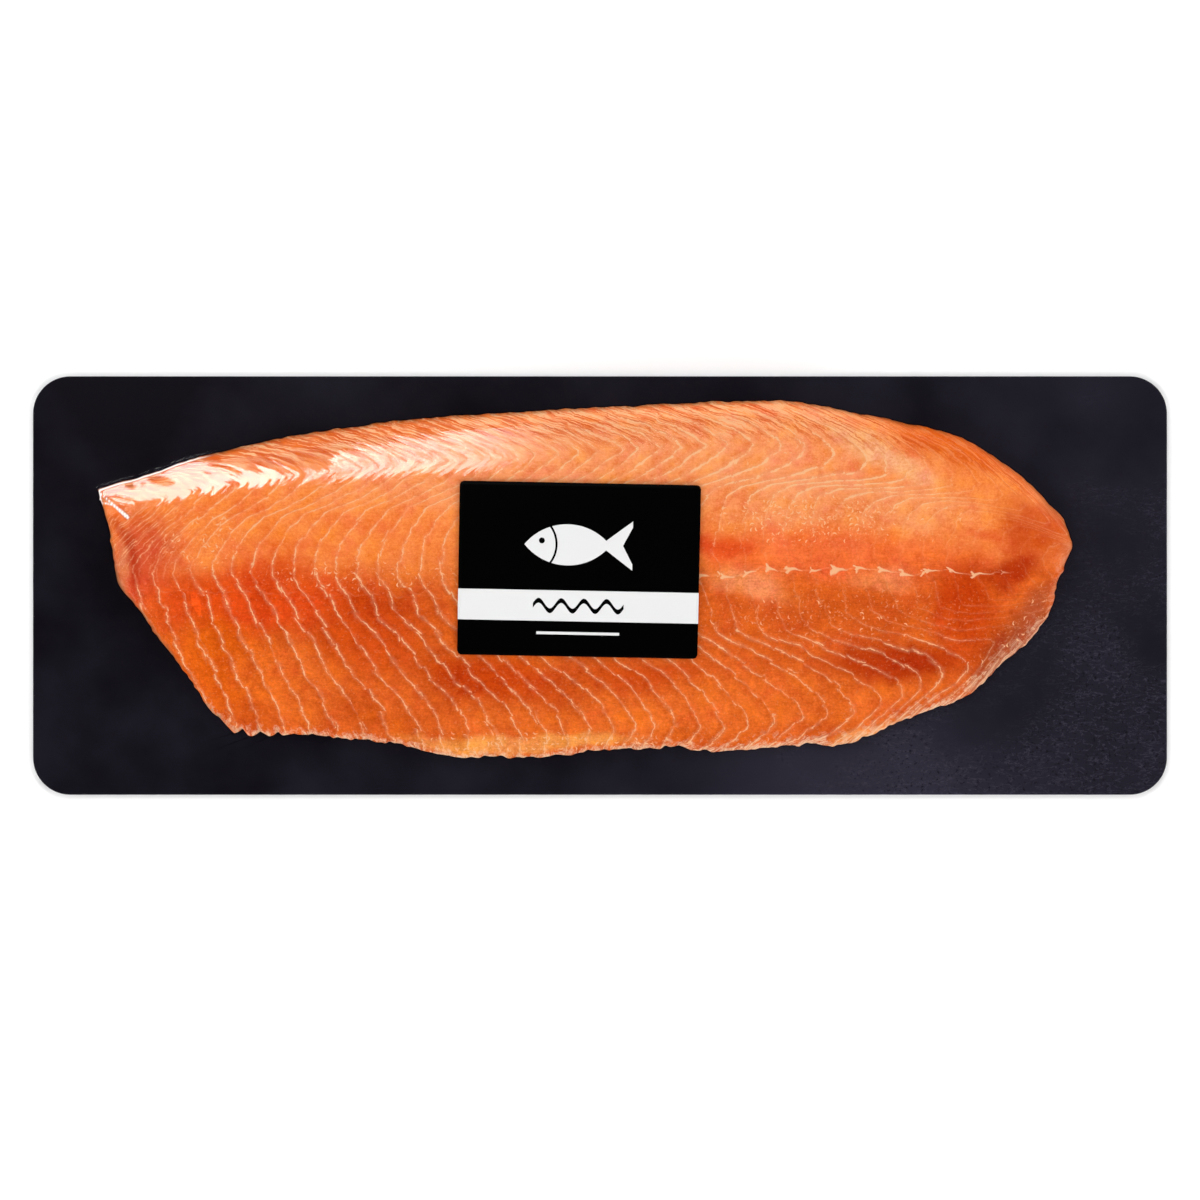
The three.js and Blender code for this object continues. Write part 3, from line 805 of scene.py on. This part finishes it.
    # The trimmed edge: frayed and pale on the belly, browned on the back and at the head
    drawn = add("VectorMath", [add("CombineXYZ", [bent, rim]), (5, 0.2, 0)], "MULTIPLY")
    hair = add("TexNoise", {"Vector": drawn, "Scale": 1, "Detail": 4, "Roughness": 0.7,
                            "Distortion": 1.5})
    hair = add("MapRange", [hair, 0.42, 0.6])
    tufts = add("MapRange", [along, 0.03, 0.08, 5, 9])
    tufts = add("MapRange", [noise["swell"], 0.42, 0.6, 1.6, tufts])
    fringe = add("MapRange", [rim, 0.4, tufts, 1, 0])
    is_belly = add("MapRange", [across, -0.6, -0.85, 0.3])
    is_flank = add("MapRange", [across, 0.6, 0.3])
    for share in (hair, is_belly, is_flank):
        fringe = add("Math", [fringe, share], "MULTIPLY")
    brown = add("MapRange", [rim, 0.3, 2.4, 0.85, 0])
    is_back = add("MapRange", [across, 0.5, 0.8])
    is_head = add("MapRange", [along, -0.18, -0.195])
    for share in (hair, add("Math", [is_back, is_head], "MAXIMUM")):
        brown = add("Math", [brown, share], "MULTIPLY")
    flesh = muscle
    for share, colour in ((pale, settings.fat), (fringe, settings.fringe),
                          (brown, settings.browned)):
        flesh = add("Mix", [share, flesh, (*colour, 1)], data_type="RGBA")

    height = add("Math", [shade, pale], "SUBTRACT")
    bump = add("Bump", {"Strength": 0.5, "Distance": 0.25 * MM, "Height": height})
    shader = add("BsdfPrincipled", {"Base Color": flesh, "Roughness": 0.42, "IOR": 1.38,
                                    "Specular IOR Level": 0.02, "Normal": bump})
    add("OutputMaterial", [shader])
    return material


def make_film(settings):
    """The skin film: one sheet that follows the flesh, tents at its edge and lies flat."""
    bm = skirted_grid(*FILM_GRID, FILM_RINGS)
    piece = finished(bm, "skin_film")
    mesh = piece.data
    rim_u, rim_v, mark = grid_shares(mesh)
    ring = np.rint(-mark).astype(int)
    skirt = ring > 0
    u, v = eased(rim_u, 0.5), eased(rim_v, 0.85)

    # Over the flesh: lifted square to its surface
    step = 2e-4
    sheet = (film_height, film_relief)
    here = np.array(over_flesh(u, v, *sheet))
    ahead = over_flesh(np.minimum(u + step, 1), v, *sheet)
    behind = over_flesh(np.maximum(u - step, 0), v, *sheet)
    above = over_flesh(u, np.minimum(v + step, 1), *sheet)
    below = over_flesh(u, np.maximum(v - step, 0), *sheet)
    square = np.cross(np.subtract(ahead, behind).T, np.subtract(above, below).T).T
    square /= np.maximum(np.linalg.norm(square, axis=0), 1e-12)
    x, y, z = here + square * settings.lift / MM

    # Round the flesh: out to the board's rim, falling in a hollow curve to the board
    half_length, half_width = BOARD_LENGTH / 2 - FILM_INSET, BOARD_WIDTH / 2 - FILM_INSET
    rim_x, rim_y = on_round_corners((rim_u * 2 - 1) * half_length, (rim_v * 2 - 1) * half_width,
                                    half_length, half_width, BOARD_CORNER - FILM_INSET)
    reach = np.hypot(rim_x - x, rim_y - y)
    at_corner = smooth(x, -190, -250) * smooth(y, 35, 48)
    tent = FILM_TENT + (FILM_TENT_HEAD - FILM_TENT) * at_corner
    last = len(FILM_TENT_STOPS) - 1
    near = np.take(FILM_TENT_STOPS, np.minimum(ring, last)) * tent
    on_board = np.maximum(ring - last, 0) / (FILM_RINGS - last)
    out = near + (reach - tent) * on_board ** 1.3
    share = out / np.maximum(reach, 1e-9)
    out_x, out_y = x + (rim_x - x) * share, y + (rim_y - y) * share
    flat = BOARD_TOP + FILM_OVER_BOARD + board_wrinkles(out_x, out_y)
    fall = np.clip(1 - out / tent, 0, 1) ** 2
    z = np.where(skirt, flat + (z - flat) * fall, z)
    x, y = np.where(skirt, out_x, x), np.where(skirt, out_y, y)
    set_places(mesh, x, y, z)

    # Where it mirrors, and the folds and a line along the back edge at the tip, painted white as
    # highlights
    plan_x, plan_y = plan(u, v)
    across = share_across(plan_x, plan_y)
    write_layout(mesh, "leaves", leaf_phase(plan_x, plan_y, across), across)
    gleam = np.ones(len(x))
    for middle, dip_reach, turn in FILM_DIPS:
        gleam *= 1 - field(x, y, middle, dip_reach, turn, 12)
    tip = smooth(x, -185, -215) * smooth(y, 35, 48)
    from_rim = rim_distance(plan_x, plan_y)
    at_rim = smooth(from_rim, 2.5, 0.5)
    gleam = np.where(skirt & (ring <= last), tip, gleam * (1 - at_rim * (1 - tip)))
    painted_edge_glint = tip * smooth(from_rim, 1.0, 1.4) * smooth(from_rim, 2.4, 1.8)
    # Painted highlight: the folds and the line along the back edge at the tip, in white
    crease = np.where(skirt, 0, np.maximum(film_folds(x, y), painted_edge_glint))
    inside = np.minimum(y - taut_low(x), taut_high(x) - y)
    write_points(mesh, "gleam", gleam)
    write_points(mesh, "crease", crease)
    write_points(mesh, "taut", np.where(skirt, -20, inside))
    write_points(mesh, "fading", 0.03 + 0.97 * smooth(x, -18, -78))
    adopt(piece, "film", film_material(settings))


def board_wrinkles(x, y):
    """Fine wrinkles where the film lies on the board, most of them at the tail end, in mm."""
    there = smooth(x, 120, 230)
    return 0.12 * (0.5 + 0.5 * grain(x, y, 5, 31)) * there


def film_material(settings):
    """Co-extruded polyethylene skin film, shrunk on by vacuum: clear and wet-looking, so it shows as
    sharp pale reflections of the light over the flesh. Its folds at the head's tip are painted white
    as highlights."""
    material, add = new_material("polyethylene_skin_film_vacuum_drawn")
    place = add("TexCoord").outputs["Object"]
    along = add("SeparateXYZ", [place]).outputs["X"]
    leaf = add("UVMap", uv_map="leaves")
    taut, fading, gleam, crease = [add("Attribute", attribute_name=name).outputs["Fac"]
                                   for name in ("taut", "fading", "gleam", "crease")]
    ripple = add("TexNoise", {"Vector": place, "Scale": 1 / (4 * MM), "Detail": 2})
    bump = add("Bump", {"Strength": 1.0, "Distance": 0.09 * MM, "Height": ripple})

    # Only the outer face mirrors, more and more towards a low slant, as the inner one is
    # wetted out on the flesh
    facing = add("LayerWeight", {"Blend": 0.5, "Normal": bump}).outputs["Facing"]
    edge_on = add("Math", [add("Math", [facing, 5.0], "POWER"), 0.9, 0.1], "MULTIPLY_ADD")

    # It mirrors best in its taut band, whose edges are toothed along the leaves
    drawn = add("VectorMath", [leaf, (2.8, 6, 0)], "MULTIPLY")
    tooth = add("TexNoise", {"Vector": drawn, "Scale": 1, "Detail": 5, "Roughness": 0.65})
    tooth = add("Math", [tooth, 0.5], "SUBTRACT")
    taut = add("Math", [tooth, 30.0, taut], "MULTIPLY_ADD")
    taut = add("MapRange", [taut, -0.3, 1, 0.05, 1])
    drawn = add("VectorMath", [leaf, (2.3, 9, 0)], "MULTIPLY")
    veil = add("TexNoise", {"Vector": drawn, "Scale": 1, "Detail": 5, "Roughness": 0.7,
                            "Distortion": 0.6})
    veil = add("MapRange", [veil, 0.42, 0.56, 0.3, 1])
    veil = add("Math", [veil, fading], "MULTIPLY")
    solid = add("MapRange", [along, -0.135, -0.165])
    for share in (taut, add("Math", [veil, solid], "MAXIMUM")):
        gleam = add("Math", [gleam, share], "MULTIPLY")
    gloss = add("BsdfGlossy", {"Color": gleam, "Roughness": settings.roughness, "Normal": bump})
    film = add("MixShader", [edge_on, add("BsdfTransparent"), gloss])
    # Painted highlight: a white diffuse on the folds and the edge line, mixed in over the film
    painted_glint_share = add("MapRange", [crease, 0.3, 0.7, 0, 0.9])
    painted_glint_white = add("BsdfDiffuse", {"Color": (*settings.fold, 1)})
    film = add("MixShader", [painted_glint_share, film, painted_glint_white])
    add("OutputMaterial", [film])
    return material


def make_label(settings):
    """The label: a sheet of coated paper that follows the crown of the fish."""
    bm = bmesh.new()
    bmesh.ops.create_grid(bm, x_segments=61, y_segments=44, size=1)
    piece = finished(bm, "label_paper")
    mesh = piece.data
    u, v, _ = grid_shares(mesh)
    length, width = settings.length / MM, settings.width / MM
    x, y = on_round_corners((u - 0.5) * length, (v - 0.5) * width, length / 2, width / 2,
                            LABEL_CORNER)
    write_layout(mesh, "print", x, y)
    sheet_x = LABEL_CENTRE[0] + x * math.cos(LABEL_TURN) - y * math.sin(LABEL_TURN)
    sheet_y = LABEL_CENTRE[1] + x * math.sin(LABEL_TURN) + y * math.cos(LABEL_TURN)
    top = BOARD_TOP + LABEL_OVER_CROWN + LABEL_THICKNESS + crown(sheet_x, sheet_y)
    set_places(mesh, sheet_x, sheet_y, top + 0.12 * grain(x, y, 40, 41))
    bm = bmesh.new()
    bm.from_mesh(mesh)
    bmesh.ops.solidify(bm, geom=bm.faces, thickness=LABEL_THICKNESS * MM)
    bm.to_mesh(mesh)
    bm.free()
    mesh.shade_smooth()
    adopt(piece, "label", label_material(settings))


def label_material(settings):
    """Coated label paper, printed: an even black with a little sheen, and clean white."""
    material, add = new_material("coated_paper_printed")
    spot = add("UVMap", uv_map="print")
    x, y = add("SeparateXYZ", [spot]).outputs[:2]
    upper_arc, lower_arc, eye, gill = [
        add("VectorMath", [spot, centre], "DISTANCE").outputs["Value"]
        for centre in ((-6, 30.2, 0), (-6, -5, 0), (-19, 14.6, 0), (-27, 12.6, 0))]
    height = add("Math", [add("Math", [y, 12.6], "SUBTRACT")], "ABSOLUTE")
    flare = add("Math", [x, 0.75, -7.8], "MULTIPLY_ADD")
    notch = add("Math", [x, 1.9, -42.0], "MULTIPLY_ADD")
    wave = add("Math", [add("Math", [x, math.tau / 11.5], "MULTIPLY")], "SINE")
    wave = add("Math", [wave, 2.6, -18.3], "MULTIPLY_ADD")
    wave = add("Math", [add("Math", [y, wave], "SUBTRACT")], "ABSOLUTE")
    reach = add("Math", [x], "ABSOLUTE")

    # A plain fish with a forked tail, an eye and a gill, a band with a wave, and a thin
    # rule. Each shape is where all of its pairs stand in rising order.
    white = 0.0
    for mode, *pairs in (
            ("MAXIMUM", (upper_arc, 28.0), (lower_arc, 28.0)),
            ("MAXIMUM", (height, flare), (notch, height), (x, 27.0)),
            ("SUBTRACT", (eye, 1.5)),
            ("SUBTRACT", (gill, 16.0), (14.9, gill)),
            ("MAXIMUM", (-26.1, y), (y, -10.5)),
            ("SUBTRACT", (wave, 1.25), (reach, 23.0)),
            ("MAXIMUM", (-32.9, y), (y, -31.5), (reach, 21.0))):
        shape = 1.0
        for pair in pairs:
            rising = add("Math", pair, "LESS_THAN")
            shape = add("Math", [rising, shape], "MULTIPLY")
        white = add("Math", [white, shape], mode, use_clamp=True)
    ink = add("Mix", [white, (*settings.ink, 1), (*settings.paper, 1)], data_type="RGBA")
    fibre = add("TexNoise", {"Vector": add("TexCoord").outputs["Object"],
                             "Scale": 1 / (0.8 * MM), "Detail": 3})
    bump = add("Bump", {"Strength": 0.2, "Distance": 0.03 * MM, "Height": fibre})
    shader = add("BsdfPrincipled", {"Base Color": ink, "Roughness": 0.38,
                                    "Specular IOR Level": 0.015, "Normal": bump})
    add("OutputMaterial", [shader])
    return material


def make_board(settings):
    """The backing board: a thin stiff sheet with round corners and softened edges."""
    bm = bmesh.new()
    bmesh.ops.create_grid(bm, x_segments=1, y_segments=1, size=1)
    bmesh.ops.scale(bm, vec=(BOARD_LENGTH / 2 * MM, BOARD_WIDTH / 2 * MM, 1), verts=bm.verts)
    bmesh.ops.bevel(bm, geom=bm.verts[:], offset=settings.corner, affect="VERTICES",
                    segments=16, profile=0.5, material=-1)
    body = bmesh.ops.extrude_face_region(bm, geom=bm.faces[:])["geom"]
    top = [item for item in body if isinstance(item, bmesh.types.BMVert)]
    bmesh.ops.translate(bm, verts=top, vec=(0, 0, BOARD_TOP * MM))
    bmesh.ops.recalc_face_normals(bm, faces=bm.faces)
    edges = [edge for edge in bm.edges
             if len(edge.link_faces) == 2 and edge.calc_face_angle(0) > 1]
    bmesh.ops.bevel(bm, geom=edges, offset=BOARD_BEVEL * MM, affect="EDGES", segments=3, profile=0.5,
                    material=-1)
    piece = finished(bm, "backing_board")
    adopt(piece, "board", board_material(settings))


def board_material(settings):
    """Laminated solid board, metallised and lacquered: near black, with a painted reflection in its
    colour that grows lighter towards the tail end, where the film on it has fine curved wrinkles
    painted as pale highlights."""
    material, add = new_material("laminated_board_lacquered")
    place = add("TexCoord").outputs["Object"]
    x, y = add("SeparateXYZ", [place]).outputs[:2]
    cloud = add("TexNoise", {"Vector": place, "Scale": 1 / (60 * MM), "Detail": 4})
    # Painted reflection: the colour is darker at the head end and the back, and lighter towards the
    # tail end and the front
    shade = add("Math", [y, -0.5, add("Math", [x, 0.7, cloud], "MULTIPLY_ADD")], "MULTIPLY_ADD")
    shade = add("Math", [shade, 0.24], "SUBTRACT")
    # Painted sheen: a soft lighter patch towards the tail end and the front
    painted_sheen = add("VectorMath", [place, (-0.13, 0.1, 0)], "ADD")
    painted_sheen = add("VectorMath", [painted_sheen, (12, 22, 0)], "MULTIPLY")
    painted_sheen = add("VectorMath", [painted_sheen], "LENGTH").outputs["Value"]
    painted_sheen = add("MapRange", [painted_sheen, 0.2, 1.4, 0.5, 0], interpolation_type="SMOOTHSTEP")
    shade = add("Math", [shade, painted_sheen], "ADD", use_clamp=True)
    colour = add("Mix", [shade, (*settings.dark, 1), (*settings.light, 1)], data_type="RGBA")

    # Fine wrinkles in the film on the board, painted as pale highlights in its colour, broken up,
    # and dark specks among them
    wrinkled = add("VectorMath", [place, (1.6, -1.8, 0)], "DOT_PRODUCT").outputs["Value"]
    wrinkled = add("MapRange", [add("Math", [wrinkled, cloud], "ADD"), 0.8, 1.0])
    drawn = add("VectorMath", [place, (1 / (9 * MM), 1 / (3.5 * MM), 1)], "MULTIPLY")
    painted_wrinkle_glint = add("TexNoise", {"Vector": drawn, "Scale": 1, "Detail": 4, "Roughness": 0.6,
                               "Distortion": 0.7})
    painted_wrinkle_glint = add("Math", [add("Math", [painted_wrinkle_glint, 0.5], "SUBTRACT")], "ABSOLUTE")
    painted_wrinkle_glint = add("MapRange", [painted_wrinkle_glint, 0.002, 0.03, 0.55, 0])
    speck = add("TexNoise", {"Vector": place, "Scale": 1 / (2 * MM), "Detail": 3,
                             "Roughness": 0.7})
    for share in (wrinkled, add("MapRange", [speck, 0.4, 0.6])):
        painted_wrinkle_glint = add("Math", [painted_wrinkle_glint, share], "MULTIPLY")
    colour = add("Mix", [painted_wrinkle_glint, colour, (*settings.painted_wrinkle_glint, 1)], data_type="RGBA")
    dark = add("Math", [add("MapRange", [speck, 0.42, 0.34, 0, 0.8]), wrinkled], "MULTIPLY")
    colour = add("Mix", [dark, colour, (*settings.dark, 1)], data_type="RGBA")
    shader = add("BsdfPrincipled", {"Base Color": colour, "Roughness": 0.35,
                                    "Specular IOR Level": 0.01})
    add("OutputMaterial", [shader])
    return material


def make_stage(settings):
    """A plain pale floor, soft lights all round, panels that the film mirrors, the camera."""
    bm = bmesh.new()
    bmesh.ops.create_grid(bm, x_segments=1, y_segments=1, size=1.8)
    floor = finished(bm, "floor")
    material, add = new_material("matt_paint_rolled")
    mottle = add("TexNoise", {"Vector": add("TexCoord").outputs["Object"], "Scale": 3,
                              "Detail": 2})
    mottle = add("MapRange", [mottle, 0, 1, 0.96, 1])
    colour = add("VectorMath", [settings.floor, mottle], "SCALE")
    shader = add("BsdfPrincipled", {"Base Color": colour, "Roughness": 0.8})
    add("OutputMaterial", [shader])
    floor.data.materials.append(material)

    # Panels over the back of the fish that only the film mirrors, as a pale band
    for name, low, high, radiance in PANELS:
        middle = ((low[0] + high[0]) / 2, (low[1] + high[1]) / 2)
        panel = add_light(name, (*middle, PANEL_HEIGHT), (*middle, 0),
                          (high[0] - low[0], high[1] - low[1]), radiance)
        panel.visible_diffuse = False
    # Large soft lights on all four sides, which light the pack evenly
    for name, x, y in (("left_light", -1, 0), ("right_light", 1, 0), ("front_light", 0, -1),
                       ("back_light", 0, 1)):
        lamp = add_light(name, (FILL_AWAY * x, FILL_AWAY * y, FILL_HEIGHT), (0, 0, 0), FILL_SIZE,
                         settings.fill)
        lamp.visible_glossy = False

    # Dim overhead and brighter low down, so that only slopes mirror it; white where it is seen
    world = bpy.data.worlds.new("studio")
    world.use_nodes = True
    add = node_adder(world.node_tree)
    height = add("SeparateXYZ", [add("TexCoord").outputs["Generated"]]).outputs["Z"]
    glow = add("MapRange", [height, 0.15, 0.75, 0.056, 0.016], interpolation_type="SMOOTHSTEP")
    strength = add("Mix", [add("LightPath").outputs["Is Camera Ray"], glow, 1.0])
    air = add("Background", {"Color": (1, 1, 1, 1), "Strength": strength})
    add("OutputWorld", [air])
    bpy.context.scene.world = world
    bpy.context.scene.view_settings.view_transform = "Standard"

    lens = bpy.data.cameras.new("camera")
    lens.lens = LENS
    lens.sensor_width = SENSOR
    lens.dof.use_dof = False
    lens.clip_end = 50
    camera = bpy.data.objects.new("camera", lens)
    camera.location = (CAMERA_AIM[0] * MM, CAMERA_AIM[1] * MM,
                       (BOARD_TOP + VIEW_WIDTH * LENS / SENSOR) * MM)
    bpy.context.scene.collection.objects.link(camera)
    bpy.context.scene.camera = camera


def add_light(name, place, aim, size, radiance):
    """A rectangular soft light that looks as bright as `radiance` from in front."""
    data = bpy.data.lights.new(name, "AREA")
    data.shape = "RECTANGLE"
    data.size, data.size_y = size
    data.energy = math.pi * size[0] * size[1] * radiance
    lamp = bpy.data.objects.new(name, data)
    lamp.location = place
    lamp.rotation_euler = (Vector(aim) - Vector(place)).to_track_quat("-Z", "Y").to_euler()
    lamp.visible_camera = False
    bpy.context.scene.collection.objects.link(lamp)
    return lamp


def colour_property(name, description, colour):
    """A colour setting whose default is an sRGB hex colour."""
    return FloatVectorProperty(name=name, description=description, default=linear(colour),
                               subtype="COLOR", size=3, min=0, max=1)


class SALMON_PG_stage(bpy.types.PropertyGroup):
    """Settings of the stage"""
    floor: colour_property("Floor", "Colour of the floor", "#f8f8f8")
    fill: FloatProperty(name="Fill light", description="Radiance of the soft lights all round",
                        default=FILL_RADIANCE, min=0)


class SALMON_PG_board(bpy.types.PropertyGroup):
    """Settings of the backing board"""
    corner: FloatProperty(name="Corner radius", description="Radius of the board's corners",
                          default=BOARD_CORNER * MM, min=0.002, max=0.1, unit="LENGTH")
    # The two ends of the board's painted reflection: its colour runs from dark to light towards the
    # tail end
    dark: colour_property("Dark end", "Board colour at the head end", "#110f15")
    light: colour_property("Light end", "Board colour at the tail end", "#312f3b")
    # Colour of the painted highlights on the film's fine wrinkles
    painted_wrinkle_glint: colour_property("Wrinkles", "Colour of the fine wrinkles", "#4c4a58")


class SALMON_PG_fillet(bpy.types.PropertyGroup):
    """Settings of the side of salmon"""
    # The back muscle colour is lighter than the belly's, partly as painted light from above
    upper: colour_property("Back muscle", "Muscle colour above the pin bones", "#fc8844")
    lower: colour_property("Belly muscle", "Muscle colour below the pin bones", "#de5f20")
    streak: colour_property("Streaks", "Deep streaks along the back", "#de5a20")
    fat: colour_property("Fat", "Fat between the muscle leaves, and flecks", "#ffc290")
    fringe: colour_property("Fringe", "Frayed edge of the belly", "#fbd2ae")
    browned: colour_property("Browned edge", "Dried edge of the back", "#8f4f1c")


class SALMON_PG_film(bpy.types.PropertyGroup):
    """Settings of the skin film"""
    lift: FloatProperty(name="Lift", description="Gap between the flesh and the film",
                        default=FILM_LIFT * MM, min=0, max=0.002, unit="LENGTH", precision=5)
    roughness: FloatProperty(name="Roughness", description="Roughness of the film's gloss",
                             default=0.05, min=0, max=1, subtype="FACTOR")
    # Colour of the white painted as highlight on the film's folds
    fold: colour_property("Folds", "Colour of the whitened folds", "#f4eeea")


class SALMON_PG_label(bpy.types.PropertyGroup):
    """Settings of the label"""
    length: FloatProperty(name="Length", description="Length of the label",
                          default=LABEL_SIZE[0] * MM, min=0.02, max=0.2, unit="LENGTH")
    width: FloatProperty(name="Width", description="Width of the label",
                         default=LABEL_SIZE[1] * MM, min=0.02, max=0.12, unit="LENGTH")
    ink: colour_property("Ink", "Colour of the printed ground", "#020202")
    paper: colour_property("Paper", "Colour of the unprinted shapes", "#d8d8d8")


class SALMON_OT_stage(bpy.types.Operator):
    """Make the floor, the lights and the camera"""
    bl_idname = "salmon.stage"
    bl_label = "Floor, lights and camera"

    def execute(self, context):
        make_stage(context.scene.salmon_stage)
        return {"FINISHED"}


class SALMON_OT_board(bpy.types.Operator):
    """Make the backing board"""
    bl_idname = "salmon.board"
    bl_label = "Backing board"

    def execute(self, context):
        make_board(context.scene.salmon_board)
        return {"FINISHED"}


class SALMON_OT_fillet(bpy.types.Operator):
    """Make the side of smoked salmon"""
    bl_idname = "salmon.fillet"
    bl_label = "Side of salmon"

    def execute(self, context):
        make_fillet(context.scene.salmon_fillet)
        return {"FINISHED"}


class SALMON_OT_film(bpy.types.Operator):
    """Make the skin film"""
    bl_idname = "salmon.film"
    bl_label = "Skin film"

    def execute(self, context):
        make_film(context.scene.salmon_film)
        return {"FINISHED"}


class SALMON_OT_label(bpy.types.Operator):
    """Make the label"""
    bl_idname = "salmon.label"
    bl_label = "Label"

    def execute(self, context):
        make_label(context.scene.salmon_label)
        return {"FINISHED"}


# What each operator makes it with: the settings' name in the scene, and their group
PIECES = (
    (SALMON_OT_stage, "salmon_stage", SALMON_PG_stage),
    (SALMON_OT_board, "salmon_board", SALMON_PG_board),
    (SALMON_OT_fillet, "salmon_fillet", SALMON_PG_fillet),
    (SALMON_OT_film, "salmon_film", SALMON_PG_film),
    (SALMON_OT_label, "salmon_label", SALMON_PG_label),
)


class SALMON_PT_pack(bpy.types.Panel):
    """Lists the pieces of the pack with their settings"""
    bl_label = "Salmon Pack"
    bl_idname = "SALMON_PT_pack"
    bl_space_type = "VIEW_3D"
    bl_region_type = "UI"
    bl_category = "Salmon Pack"

    def draw(self, context):
        for operator, name, group in PIECES:
            box = self.layout.box()
            for setting in group.__annotations__:
                box.prop(getattr(context.scene, name), setting)
            box.operator(operator.bl_idname)


def register():
    for operator, name, group in PIECES:
        bpy.utils.register_class(group)
        bpy.utils.register_class(operator)
        setattr(bpy.types.Scene, name, PointerProperty(type=group))
    bpy.utils.register_class(SALMON_PT_pack)


def unregister():
    bpy.utils.unregister_class(SALMON_PT_pack)
    for operator, name, group in reversed(PIECES):
        delattr(bpy.types.Scene, name)
        bpy.utils.unregister_class(operator)
        bpy.utils.unregister_class(group)


def main():
    register()
    bpy.ops.salmon.stage()
    bpy.ops.salmon.board()
    bpy.ops.salmon.fillet()
    bpy.ops.salmon.film()
    bpy.ops.salmon.label()


if __name__ == "__main__":
    main()
